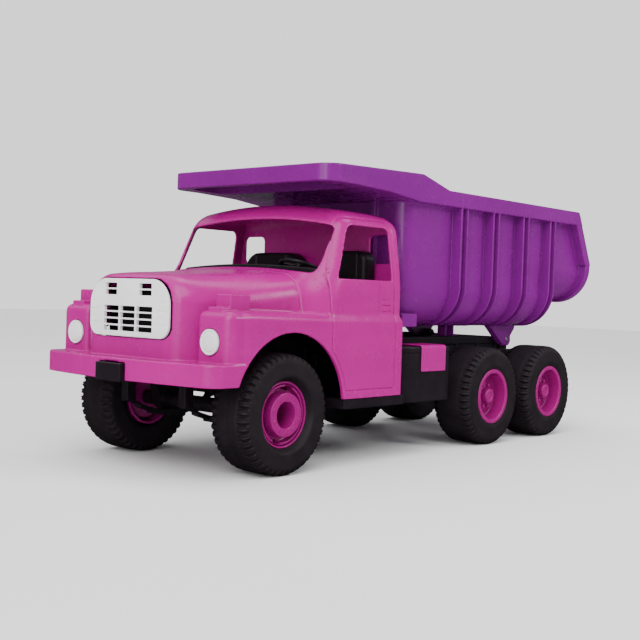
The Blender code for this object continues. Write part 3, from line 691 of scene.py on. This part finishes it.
def seat(low, high, top, shoulder):
    """A moulded seat: backrest with round shoulders, cushion, and pinched seams between panels."""

    def at(x, y, z):
        centre = (low + high) / 2
        back = both(plate(x, z, (low, 0.100), (high, top), shoulder), slab(y, 0.1530, 0.1735), 0.005)
        cushion = brick(x, y, z, (low, 0.1080, 0.1352), (high, 0.1700, 0.1610), 0.005)
        whole = both(either(back, cushion, 0.004), 0.1350 - z, 0.001)
        seams = np.exp(-(((np.abs(x - centre) - (high - low) * 0.27) / 0.0009) ** 2))
        return whole + 0.0009 * seams

    return at


def steering_wheel(x, y, z):
    """Three-spoked wheel with its hub, flat about its own axis Z."""
    r = np.hypot(x, y)
    ring = np.hypot(r - STEER_R, z) - 0.0022
    angle = np.arctan2(y, x) - math.pi / 2
    off_spoke = (angle + math.pi / 3) % (2 * math.pi / 3) - math.pi / 3
    spoke = both(np.hypot(r * np.sin(off_spoke), z) - 0.0016, r - STEER_R)
    hub = both(r - 0.0052, np.abs(z) - 0.0020, 0.0008)
    whole = either(either(ring, spoke, 0.0012), hub, 0.0015)
    return less(whole, both(r - 0.0021, z - 0.0015))


def make_interior():
    low, high = (-0.115, 0.064, 0.133), (0.115, 0.100, 0.2120)
    piece = skin("dash_moulding", dashboard, low, high, 0.0012, mirror=False)
    dress(piece, "black_plastic", "truck", "dashboard")
    for name, right, left, top, shoulder in (
        ("driver", 0.0460, 0.0940, 0.2285, 0.012),
        ("passenger", -0.0940, -0.0040, 0.2265, 0.022),
    ):
        field = seat(right, left, top, shoulder)
        low, high = (right - 0.002, 0.105, 0.133), (left + 0.002, 0.176, top + 0.002)
        piece = skin(f"{name}_seat", field, low, high, 0.0011, mirror=False)
        dress(piece, "black_plastic", "truck", f"seat_{name}")

    low, high = (-0.024, -0.024, -0.004), (0.024, 0.024, 0.004)
    piece = skin("steering_ring", steering_wheel, low, high, 0.0006, mirror=False, at=(0, 0, 0))
    centre = Matrix.Translation((STEER_X, AXLE_Y + STEER_Y, STEER_Z))
    piece.data.transform(centre @ Matrix.Rotation(-STEER_TILT, 4, "X"))
    dress(piece, "black_plastic", "steering", "steering_wheel")


# --- chassis, boards and tanks


CROSS_MEMBERS = (  # from y, to y, top
    (-0.0747, -0.0560, 0.1307),
    (0.0750, 0.0900, 0.1147),
    (0.1600, 0.1765, 0.1307),
    (0.2900, 0.3050, 0.1307),
    (0.4300, 0.4450, 0.1277),
    (0.5300, 0.5447, 0.1097),
)
SCREW_YS = (-0.0653, 0.16825)
LEAVES = ((0.1205, 0.1228, 0.060), (0.1226, 0.1249, 0.046), (0.1247, 0.1270, 0.030))
LEAF_CENTRE_Z = 0.171


def chassis(x, y, z):
    """Channel rails, cross members, axle hangers and tubes, hinge lugs and the plate behind the grille."""
    ax = np.abs(x)
    top = np.interp(y, (0.4434, 0.4860), (0.1310, 0.1235))
    top = np.where(y > 0.4860, 0.1120, top)
    rail = both(slab(ax, 0.050, 0.064), both(z - top, 0.085 - z), 0.0012)
    rail = both(rail, slab(y, -0.0750, 0.5450), 0.001)
    web = both(slab(z, 0.0905, np.minimum(top, 0.126) - 0.0055), slab(y % 0.048, 0.003, 0.045), 0.001)
    solid = less(rail, both(web, 0.0625 - ax), 0.0008)
    for low, high, level in CROSS_MEMBERS:
        member = both(slab(z, level - 0.024, level), ax - 0.0600)
        solid = either(solid, both(slab(y, low, high), member, 0.001), 0.002)
    for axle_y in (0.0, MID_Y, TAIL_Y):
        eye = np.hypot(y - axle_y, z - AXLE_Z)
        flare = 0.35 * np.maximum(z - 0.060, 0)
        hanger = both(both(np.abs(y - axle_y) - 0.0095 - flare, AXLE_Z - z), z - 0.095)
        hanger = both(either(hanger, eye - 0.0105), slab(ax, 0.0505, 0.0636), 0.001)
        solid = either(solid, hanger, 0.002)
        solid = either(solid, both(eye - 0.0080, ax - 0.0842, 0.0008), 0.002)
        solid = less(solid, both(eye - BORE_R, 0.045 - ax))
    front_plate = brick(ax, y, z, (-0.058, -0.0749, 0.0870), (0.058, -0.0725, 0.1800), 0.0008)
    solid = either(solid, front_plate, 0.001)
    lug = np.hypot(y - HINGE_Y, z - HINGE_Z)
    post = both(both(np.abs(y - HINGE_Y) - 0.0088, z - HINGE_Z), 0.100 - z)
    solid = either(solid, both(either(lug - 0.0085, post), slab(ax, 0.0560, 0.0637), 0.0008), 0.001)
    solid = less(solid, lug - BORE_R)
    for screw_y in SCREW_YS:
        solid = less(solid, both(np.hypot(ax - 0.030, y - screw_y) - 0.0023, 0.09 - z))
    return solid


def front_spring(x, y, z):
    """Leaf spring: three leaves of growing length, in one moulding."""
    ax = np.abs(x)
    r = np.hypot(y, z - LEAF_CENTRE_Z)
    spring = 1.0
    for low, high, reach in LEAVES:
        leaf = both(both(slab(r, low, high), np.abs(y) - reach), z - LEAF_CENTRE_Z)
        spring = np.minimum(spring, both(leaf, slab(ax, 0.0390, 0.0495), 0.0006))
    for end in (-0.058, 0.058):
        eye = brick(ax, y, z, (0.0390, end - 0.006, 0.0620), (0.0495, end + 0.006, 0.0845), 0.0015)
        spring = either(spring, eye, 0.002)
    clamp = brick(ax, y, z, (0.0385, -0.0060, 0.0435), (0.0497, 0.0060, 0.0515), 0.001)
    return either(spring, clamp, 0.0008)


def running_board(x, y, z):
    tread = brick(x, y, z, (OUTBOARD_X, 0.0835, 0.0605), (0.1290, 0.1870, 0.0712), 0.0012)
    post = brick(x, y, z, (OUTBOARD_X, 0.1000, 0.0650), (0.0740, 0.1720, 0.1150), 0.0012)
    return either(tread, post, 0.002)


def side_tank(x, y, z):
    """Tank box with a quarter-round front corner, a lid line and an open underside."""
    plan = both(both(x - 0.1245, 0.1876 - y, 0.024), y - 0.2785, 0.0020)
    hollow = both(plan + WALL, z - 0.1205)
    box = both(both(plan, OUTBOARD_X - x, 0.001), z - 0.1235, 0.0022)
    box = both(less(box, both(hollow, 0.0673 - x)), 0.0605 - z, 0.0008)
    lid = np.exp(-(((z - 0.1160) / 0.0005) ** 2))
    strap = np.where(y > 0.273, np.exp(-(((y - 0.2745) / 0.0004) ** 2)), 0.0)
    return box + 0.0006 * lid + 0.0004 * strap


def tank_cover(x, y, z):
    """Pink flap over the tank's outer edge, with a softly rounded bend."""
    outer = both(x - 0.1263, z - 0.1253, 0.0040)
    inner = both(x - 0.1248, z - 0.1238, 0.0025)
    flap = both(outer, plate(y, z, (0.2215, 0.0950), (0.2690, 0.1400), 0.0015), 0.0008)
    return both(less(flap, inner, 0.0003), 0.0900 - x, 0.0005)


def mirrored(field):
    return lambda x, y, z: field(-x, y, z)


def make_chassis():
    piece = skin("chassis_rails", chassis, (0.0, -0.077, 0.046), (0.087, 0.548, 0.182), 0.0016, keep=0.4)
    dress(piece, "black_plastic", "truck", "chassis_frame")
    for side, s in SIDES:
        for name, node, material, field, low, high, cell in (
            (
                "leaf_spring", "front_spring", "black_plastic",
                front_spring, (0.037, -0.068, 0.041), (0.052, 0.068, 0.087), 0.0009,
            ),
            (
                "step_board", "running_board", "black_plastic",
                running_board, (0.062, 0.081, 0.058), (0.131, 0.189, 0.117), 0.0014,
            ),
            (
                "tank_box", "side_tank", "black_plastic",
                side_tank, (0.062, 0.185, 0.058), (0.127, 0.281, 0.126), 0.0012,
            ),
            (
                "tank_flap", "tank_cover", "pink_plastic",
                tank_cover, (0.088, 0.219, 0.093), (0.128, 0.271, 0.127), 0.0008,
            ),
        ):
            if s < 0:
                field = mirrored(field)
                low, high = (-high[0], *low[1:]), (-low[0], *high[1:])
            piece = skin(f"{name}_{side}", field, low, high, cell, mirror=False, keep=0.4)
            dress(piece, material, "truck", f"{node}_{side}")


# --- wheels

LUGS = 46


def tyre_profile(recess):
    """(radius, height) from the bore over the sidewall to the tread; recess sets the bead back."""
    w, bore = HALF_TREAD, 0.0302
    return [
        (bore, w - 0.0100),
        (0.0330 if recess else 0.0335, w - (0.0075 if recess else 0.0012)),
        (0.0368, w - 0.0006),
        (0.0385, w),
        (0.0450, w - 0.0003),
        (0.0510, w - 0.0004),
        (0.0550, w - 0.0010),
        (0.0576, w - 0.0026),
        (0.0591, w - 0.0048),
        (WHEEL_R - 0.0002, w - 0.0085),
        (WHEEL_R, w - 0.0150),
    ]


def make_tyre_mesh(name, recess):
    """A solid ring about X: its outline swept round, with lugs and grooves pressed into the tread."""
    outer = tyre_profile(recess)
    inner = [(r, -h) for r, h in reversed(tyre_profile(False))]
    path = np.array(outer + inner)
    steps = np.r_[0, np.cumsum(np.hypot(*np.diff(path, axis=0).T))]
    count = 84
    even = np.linspace(0, steps[-1], count)
    radius, height = (np.interp(even, steps, path[:, i]) for i in (0, 1))
    tangent = np.stack([np.gradient(radius), np.gradient(height)])
    tangent /= np.linalg.norm(tangent, axis=0)
    normal_r, normal_h = -tangent[1], tangent[0]
    around = LUGS * 14
    turn = np.linspace(0, 2 * np.pi, around, endpoint=False)[:, None]
    r, h = radius[None, :], height[None, :]
    share = h / HALF_TREAD
    tread = smooth((r - 0.0535) / 0.0030)
    shoulder = smooth((np.abs(share) - 0.56) / 0.05)
    phase = (turn * LUGS / (2 * np.pi) + 0.25 * (share > 0)) % 1.0
    gap = smooth((0.21 - np.abs(phase - 0.5)) / 0.07)
    fine_phase = (turn * LUGS / np.pi) % 1.0
    sipe = smooth((0.16 - np.abs(fine_phase - 0.5)) / 0.10)
    ring = np.exp(-(((np.abs(share) - 0.53) / 0.022) ** 2))
    middle_ring = np.exp(-((share / 0.018) ** 2))
    cut = 0.0025 * gap * shoulder + 0.0006 * sipe * shoulder + 0.0009 * ring + 0.0005 * middle_ring
    cut = cut * tread
    r, h = r - cut * normal_r[None, :], h - cut * normal_h[None, :]
    points = np.stack([h + 0 * turn, r * np.cos(turn), r * np.sin(turn)], -1).reshape(-1, 3)
    i, j = np.meshgrid(np.arange(around), np.arange(count - 1), indexing="ij")
    k = (i + 1) % around
    here, there = i * count + j, k * count + j
    quads = np.stack([here, here + 1, there + 1, there], -1).reshape(-1, 4).tolist()
    starts = [(a * count, (a + 1) % around * count) for a in range(around)]
    bore = [(a, b, b + count - 1, a + count - 1) for a, b in starts]
    mesh = bpy.data.meshes.new(name)
    mesh.from_pydata(points.tolist(), [], quads + bore)
    bm = bmesh.new()
    bm.from_mesh(mesh)
    bmesh.ops.recalc_face_normals(bm, faces=bm.faces)
    bm.to_mesh(mesh)
    bm.free()
    mesh.shade_smooth()
    mesh.set_sharp_from_angle(angle=math.radians(50))
    return mesh


def slots_in(y, z, r):
    """Two openings through the disc, half a turn apart and a little off the vertical."""
    angle = np.arctan2(z, y) - math.radians(74)
    along = ((angle + math.pi / 2) % math.pi - math.pi / 2) * 0.0276
    return plate(along, r, (-0.0056, 0.0252), (0.0056, 0.0288), 0.0015)


def front_rim(x, y, z):
    """Raised hub ring inside a shallow dish; x runs outwards."""
    r = np.hypot(y, z)
    w = HALF_TREAD
    barrel = both(slab(r, 0.0272, 0.0297), slab(x, -w + 0.002, 0.0180), 0.0006)
    lip = both(slab(r, 0.0308, 0.0330), slab(x, 0.0145, 0.0192), 0.0009)
    dish_at = 0.0112 + 0.0060 * np.clip((r - 0.0235) / 0.0080, 0, 1) ** 2
    dish = both(slab(x, dish_at - 0.0028, dish_at), r - 0.0322, 0.0006)
    hub = both(r - 0.0219 - 0.04 * (0.0230 - x), slab(x, -0.0165, 0.0230), 0.0012)
    rim = either(either(barrel, lip, 0.001), either(dish, hub, 0.0012), 0.001)
    bolt_turn = (np.arctan2(z, y) % (math.pi / 5)) - math.pi / 10
    bolt = np.hypot(r * np.cos(bolt_turn) - 0.0176, r * np.sin(bolt_turn))
    rim = either(rim, both(bolt - 0.0012, slab(x, 0.018, 0.0234), 0.0003), 0.0004)
    rim = less(rim, both(r - 0.0131, -0.0040 - x), 0.0010)
    rim = less(rim, r - BORE_R + 0 * x)
    rim = less(rim, both(slots_in(y, z, r), -0.0200 - x), 0.0004)
    return both(rim, -x - 0.0240)


def rear_rim(x, y, z):
    """Deep bowl with a hub ring and a crown of bolt bosses."""
    r = np.hypot(y, z)
    w = HALF_TREAD
    bowl_r = 0.0268 + 0.0016 * np.clip((x + 0.002) / 0.028, 0, 1)
    barrel = both(slab(r, bowl_r, 0.0297), slab(x, -0.0180, w - 0.0010), 0.0006)
    lip = both(slab(r, 0.0286, 0.0336), slab(x, w - 0.0042, w - 0.0003), 0.0012)
    disc = both(slab(x, 0.0046, 0.0080), r - 0.0290, 0.0006)
    hub = both(r - 0.0185, slab(x, -0.0180, 0.0122), 0.0020)
    boss = both(r - 0.0092, slab(x, 0.0, 0.0212), 0.0022)
    bolt_turn = (np.arctan2(z, y) % (math.pi / 4)) - math.pi / 8
    bolt = np.hypot(r * np.cos(bolt_turn) - 0.0138, r * np.sin(bolt_turn))
    bolts = both(bolt - 0.0024, slab(x, 0.008, 0.0158), 0.0012)
    rim = either(either(barrel, lip, 0.0008), either(disc, hub, 0.0020), 0.0015)
    rim = either(either(rim, boss, 0.0015), bolts, 0.0008)
    rim = less(rim, both(r - BORE_R, x - 0.0197))
    rim = less(rim, both(r - 0.0045, 0.0203 - x), 0.0005)
    return less(rim, both(slots_in(y, z, r), -0.0150 - x), 0.0004)


def make_wheels():
    """Six tyres and rims; each tyre is turned by its own angle in degrees, so that no two match."""
    tyres = {"front": make_tyre_mesh("tyre_recessed", True), "rear": make_tyre_mesh("tyre_flush", False)}
    rims = {}
    for kind, field in (("front", front_rim), ("rear", rear_rim)):
        low, high = (-0.026, -0.0345, -0.0345), (HALF_TREAD, 0.0345, 0.0345)
        master = skin(f"rim_{kind}_master", field, low, high, 0.00085, mirror=False, keep=0.45, at=(0, 0, 0))
        rims[kind] = master.data
        bpy.data.objects.remove(master)
    for axle, kind, y, spins in (
        ("front", "front", 0.0, (4, 31)),
        ("mid", "rear", MID_Y, (11, 17)),
        ("rear", "rear", TAIL_Y, (-7, 5)),
    ):
        for (side, s), spin in zip(SIDES, spins):
            place = Matrix.Translation((s * WHEEL_X, AXLE_Y + y, AXLE_Z))
            if s < 0:
                place = place @ Matrix.Rotation(math.pi, 4, "Z")
            tyre = add_object(f"tyre_tread_{axle}_{side}", tyres[kind].copy())
            tyre.data.transform(place @ Matrix.Rotation(math.radians(spin), 4, "X"))
            dress(tyre, "tyre", f"wheel_{axle}_{side}", f"tyre_{axle}_{side}")
            rim = add_object(f"wheel_rim_{axle}_{side}", rims[kind].copy())
            rim.data.transform(place)
            dress(rim, "rim_plastic", f"wheel_{axle}_{side}", f"rim_{axle}_{side}")


# --- tipping bed

BED_FRONT, TUB_REAR = 0.205, 0.524
BED_FLOOR, TAIL_FLOOR = 0.1465, 0.1840
RIB_YS = (0.3059, 0.3764, 0.4483, 0.5176)
RIB_HALF, FIN = 0.0075, 0.0026
RIB_EDGES = [m + s * RIB_HALF for m in RIB_YS for s in (-1, 1)]
TUB_X = 0.1080
TAIL_END, TAIL_KNEE_Z = 0.6270, 0.2315  # the bed ends upright below the knee and slants above it
VISOR_Y = 0.0562
BAND_TOP = ((VISOR_Y, 0.3132), (0.2195, 0.3180), (0.2720, 0.3044), (0.640, 0.3044))
BAND_LOW = ((VISOR_Y, 0.2948), (0.1000, 0.2945), (0.1600, 0.2922), (0.2160, 0.2862), (0.640, 0.2862))


def panel_bulge(y):
    """How far a side panel swells between its ribs."""
    edges = [BED_FRONT - 0.01] + RIB_EDGES + [0.64]
    bulge = 0.0
    for low, high in zip(edges[::2], edges[1::2]):
        share = np.clip((y - low) / (high - low), 0, 1)
        bulge = bulge + 0.0030 * (4 * share * (1 - share)) ** 0.8
    return bulge


def tub(x, y, z):
    """The load space's outside, open upwards."""
    ax = np.abs(x)
    swell = panel_bulge(y)
    main = both(ax - TUB_X - swell, BED_FLOOR - z - 0.5 * swell, 0.043)
    main = both(both(main, BED_FRONT - y, 0.018), y - TUB_REAR, 0.005)
    tail = both(ax - TUB_X - np.minimum(swell, 0.0015), TAIL_FLOOR - z, 0.041)
    tail = both(tail, 0.480 - y)
    return either(main, tail, 0.004)


def band(x, y, z):
    """Rim, canopy and wings: one raised band round the top."""
    top = z - np.interp(y, *zip(*BAND_TOP))
    low = np.interp(y, *zip(*BAND_LOW)) - z
    plan = both(np.abs(x) - RIM_X + 0.0002, VISOR_Y - y, 0.021)
    return both(plan, np.maximum(top, low), 0.0013)


def rear_edge(y, z):
    """Distance behind the slanting end of the bed."""
    slope = math.atan2(0.0390, 0.0748)
    slanted = (y - TAIL_END) * math.cos(slope) + (z - TAIL_KNEE_Z) * math.sin(slope)
    return np.where(z > TAIL_KNEE_Z, slanted, y - TAIL_END)


def fins(x, y, z):
    """Two thin fins along each rib, round the tub's sides and floor."""
    section = both(np.abs(x) - RIM_X + 0.0004, 0.1447 - z, 0.050)
    nearest = 1.0
    for middle_y in RIB_YS:
        nearest = np.minimum(nearest, np.abs(np.abs(y - middle_y) - RIB_HALF + FIN / 2) - FIN / 2)
    return both(both(section, nearest, 0.0007), z - 0.295)


def hinge_bracket(x, y, z):
    """A cheek outside each rail, stiffened along its slanting edge, with the lug for the pin."""
    ax = np.abs(x)
    sloped = -0.6 * (y - 0.4475) + 0.8 * (0.1430 - z)
    web = both(both(sloped, y - 0.5160, 0.002), both(z - 0.150, 0.1180 - z), 0.002)
    web = both(web, 0.72 * (y - 0.516) + 0.69 * (0.1415 - z), 0.0015)
    pin = np.hypot(y - HINGE_Y, z - HINGE_Z)
    cheek = both(either(web, pin - 0.0092, 0.001), slab(ax, OUTBOARD_X, 0.0690), 0.0008)
    strip = both(np.abs(sloped + 0.0012) - 0.0012, slab(z, 0.120, 0.148))
    rib = both(strip, slab(ax, OUTBOARD_X, 0.0735), 0.0006)
    return less(either(cheek, rib, 0.0008), pin - BORE_R)


def bed(x, y, z):
    """The moulding: tub, fins, band, lips, feet and brackets, then its hollow and the canopy's pocket."""
    ax = np.abs(x)
    space = tub(x, y, z)
    solid = either(both(space, z - 0.3005), fins(x, y, z), 0.0009)
    solid = either(solid, band(x, y, z), 0.0012)
    end = rear_edge(y, z)
    lip = both(both(ax - RIM_X + 0.0002, -end - 0.014, 0.0008), TAIL_KNEE_Z - z, 0.001)
    lip = both(both(lip, z - 0.300), 0.100 - ax)
    solid = either(solid, lip, 0.001)
    lip_section = both(ax - 0.1212, 0.1788 - z, 0.050)
    tail_lip = both(both(lip_section, -end - 0.0120, 0.0008), z - 0.2312, 0.0010)
    solid = either(solid, tail_lip, 0.001)
    front_rib = both(np.abs(ax - 0.065) - 0.0035, both(0.1995 - y, y - 0.215), 0.001)
    solid = either(solid, both(front_rib, slab(z, 0.158, 0.300), 0.001), 0.001)
    foot = both(slab(ax, 0.051, 0.064), slab(y, 0.3570, 0.3760), 0.001)
    foot = less(foot, both(slab(y, 0.3596, 0.3734), 0.0536 - ax), 0.0005)
    solid = either(solid, both(foot, slab(z, 0.1313, 0.160), 0.0008), 0.0015)
    solid = either(solid, hinge_bracket(x, y, z), 0.0015)
    pad = brick(ax, y, z, (0.072, 0.2052, 0.1449), (0.1085, 0.2340, 0.1600), 0.0012)
    solid = either(solid, pad, 0.001)
    hollow = both(space + WALL, 0.1495 - z)
    solid = less(solid, both(hollow, BED_FRONT + WALL - y), 0.0010)
    pocket = both(plate(x, y, (-0.101, 0.0640), (0.101, 0.1220), 0.020), z - 0.3065, 0.0015)
    solid = less(solid, pocket, 0.0012)
    return both(solid, end, 0.0009)


def make_bed():
    fine_y = tuple((edge - 0.0042, edge + 0.0042, 0.0009) for edge in RIB_EDGES)
    fine = (((0.1060, RIM_X + 0.001, 0.0010),), fine_y, ((0.2840, 0.3200, 0.0011),))
    low, high = (0.0, VISOR_Y - 0.003, 0.114), (RIM_X + 0.002, BED_REAR + 0.003, 0.3205)
    piece = skin("bed_moulding", bed, low, high, 0.0015, keep=0.34, fine=fine)
    dress(piece, "purple_plastic", "tipping_bed", "dump_bed")


# --- small hardware


def lathe(name, profile, steps=40):
    """A lathe shape from (radius, height) points down its outside, about the Z axis."""
    bm = bmesh.new()
    rings = []
    for radius, height in profile:
        if radius == 0.0:
            rings.append([bm.verts.new((0, 0, height))])
            continue
        angles = (2 * math.pi * i / steps for i in range(steps))
        rings.append([bm.verts.new((radius * math.cos(a), radius * math.sin(a), height)) for a in angles])
    for upper, lower in zip(rings, rings[1:]):
        for i in range(steps):
            j = (i + 1) % steps
            ring = [side[k % len(side)] for side, k in ((upper, i), (lower, i), (lower, j), (upper, j))]
            bm.faces.new(list(dict.fromkeys(ring)))
    bmesh.ops.recalc_face_normals(bm, faces=bm.faces)
    mesh = bpy.data.meshes.new(name)
    bm.to_mesh(mesh)
    bm.free()
    mesh.shade_smooth()
    mesh.set_sharp_from_angle(angle=math.radians(35))
    return add_object(name, mesh)


ROD_R, CHAMFER = 0.0030, 0.0005


def make_rods():
    """Axles and the hinge pin: drawn rods with chamfered ends."""
    for name, node, shorter in (
        ("axle_rod_front", "axle_front", 0.0),
        ("axle_rod_mid", "axle_mid", 0.0),
        ("axle_rod_rear", "axle_rear", 0.0),
        ("hinge_rod", "bed_hinge_pin", 0.0025),
    ):
        low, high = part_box(node)
        half = (high[0] - low[0]) / 2 - shorter
        ends = [(0.0, half), (ROD_R - CHAMFER, half), (ROD_R, half - CHAMFER)]
        rod = lathe(name, ends + [(radius, -height) for radius, height in reversed(ends)])
        rod.data.transform(Matrix.Translation(middle(node)) @ Matrix.Rotation(math.pi / 2, 4, "Y"))
        dress(rod, "steel", "truck", node)


def finish_cad_nodes():
    """Procedural materials on the CAD nodes that keep their own shape."""
    for name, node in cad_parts.items():
        if name.startswith(("axle_clip", "cab_screw", "cab_floor")):
            node.data.materials.clear()
            node.data.materials.append(MATERIALS["black_plastic" if name == "cab_floor" else "steel"])


# --- studio


FLOOR_HALF = 6.0
WORLD_LIGHT, BACKDROP = 0.30, 1.75  # what lights the toy, and what the camera sees behind it
AIM = Vector((0.0, 0.0, 0.16))


def make_floor():
    """White paper, shown much darker in the toy's own reflections."""
    bm = bmesh.new()
    bmesh.ops.create_grid(bm, x_segments=1, y_segments=1, size=FLOOR_HALF)
    mesh = bpy.data.meshes.new("studio_floor")
    bm.to_mesh(mesh)
    bm.free()
    floor = add_object("studio_floor", mesh)
    paper = Paint("studio_paper", (0.93, 0.93, 0.94), 0.75)
    paper.connect(paper.ramp(paper.noise(3.0, 2.0), (0.3, 0.92), (0.7, 0.94)), "Base Color")
    nodes, links = paper.tree.nodes, paper.tree.links
    matte = nodes.new("ShaderNodeBsdfDiffuse")
    matte.inputs["Color"].default_value = (0.07, 0.07, 0.07, 1.0)
    reflected = nodes.new("ShaderNodeLightPath").outputs["Is Glossy Ray"]
    choose = nodes.new("ShaderNodeMixShader")
    links.new(reflected, choose.inputs["Fac"])
    links.new(paper.shader.outputs["BSDF"], choose.inputs[1])
    links.new(matte.outputs["BSDF"], choose.inputs[2])
    links.new(choose.outputs["Shader"], nodes["Material Output"].inputs["Surface"])
    mesh.materials.append(paper.material)


def make_world():
    """A dim even sky for the toy, and bright paper wherever the camera looks past it."""
    world = bpy.data.worlds.new("studio")
    world.use_nodes = True
    nodes, links = world.node_tree.nodes, world.node_tree.links
    glow = nodes["Background"]
    glow.inputs["Color"].default_value = (0.98, 0.98, 1.0, 1.0)
    glow.inputs["Strength"].default_value = WORLD_LIGHT
    paper_white = nodes.new("ShaderNodeBackground")
    paper_white.inputs["Strength"].default_value = BACKDROP
    seen = nodes.new("ShaderNodeLightPath").outputs["Is Camera Ray"]
    choose = nodes.new("ShaderNodeMixShader")
    links.new(seen, choose.inputs["Fac"])
    links.new(glow.outputs["Background"], choose.inputs[1])
    links.new(paper_white.outputs["Background"], choose.inputs[2])
    links.new(choose.outputs["Shader"], nodes["World Output"].inputs["Surface"])
    bpy.context.scene.world = world


def add_lamp(name, data, place):
    lamp_object = add_object(name, data)
    lamp_object.location = place
    lamp_object.rotation_euler = (AIM - Vector(place)).to_track_quat("-Z", "Y").to_euler()


def make_lamps():
    for name, place, softness, strength in (
        ("sun_key", (1.2, -1.5, 2.3), 45.0, 2.3),
        ("sun_low", (0.5, -1.9, 0.45), 40.0, 1.2),
        ("sun_fill", (-0.9, -0.5, 2.2), 70.0, 1.5),
    ):
        data = bpy.data.lights.new(name, "SUN")
        data.angle = math.radians(softness)
        data.energy = strength
        add_lamp(name, data, place)
    for name, place, size, power in (
        ("softbox_side", (1.50, 0.80, 1.05), (0.95, 0.45), 15.0),
        ("softbox_front", (0.35, -1.75, 1.25), (0.7, 0.7), 6.0),
        ("strip_front", (1.05, -1.75, 0.70), (0.10, 1.0), 5.0),
        ("softbox_top", (0.30, 0.20, 1.7), (0.5, 1.5), 10.0),
    ):
        data = bpy.data.lights.new(name, "AREA")
        data.shape = "RECTANGLE"
        data.size, data.size_y = size
        data.energy = power
        add_lamp(name, data, place)


CAMERA_PLACE = (0.8271, -0.7581, 0.1783)  # from the front axle's middle, on the floor
CAMERA_TURN, CAMERA_PITCH, CAMERA_ROLL = 41.135, 1.36, 1.90  # degrees
CAMERA_LENS = 59.8


def make_camera():
    """Camera built from its turn about the truck, its pitch and its roll."""
    data = bpy.data.cameras.new("camera")
    data.sensor_width = 36.0
    data.lens = CAMERA_LENS
    data.clip_start = 0.02
    turn, pitch, roll = (math.radians(v) for v in (CAMERA_TURN, CAMERA_PITCH, CAMERA_ROLL))
    back = Vector((math.sin(turn) * math.cos(pitch), -math.cos(turn) * math.cos(pitch), math.sin(pitch)))
    right = (-back).cross(Vector((0, 0, 1))).normalized()
    up = back.cross(right)
    camera_x = right * math.cos(roll) + up * math.sin(roll)
    camera_y = -right * math.sin(roll) + up * math.cos(roll)
    rotation = Matrix((camera_x, camera_y, back)).transposed()
    place = Vector(CAMERA_PLACE) + Vector((0.0, AXLE_Y, 0.0))
    camera = add_object("camera", data)
    camera.matrix_world = Matrix.Translation(place) @ rotation.to_4x4()
    bpy.context.scene.camera = camera


make_camera()
make_floor()
make_world()
make_lamps()
make_cab()
make_front_trim()
make_interior()
make_chassis()
make_wheels()
make_bed()
make_rods()
finish_cad_nodes()
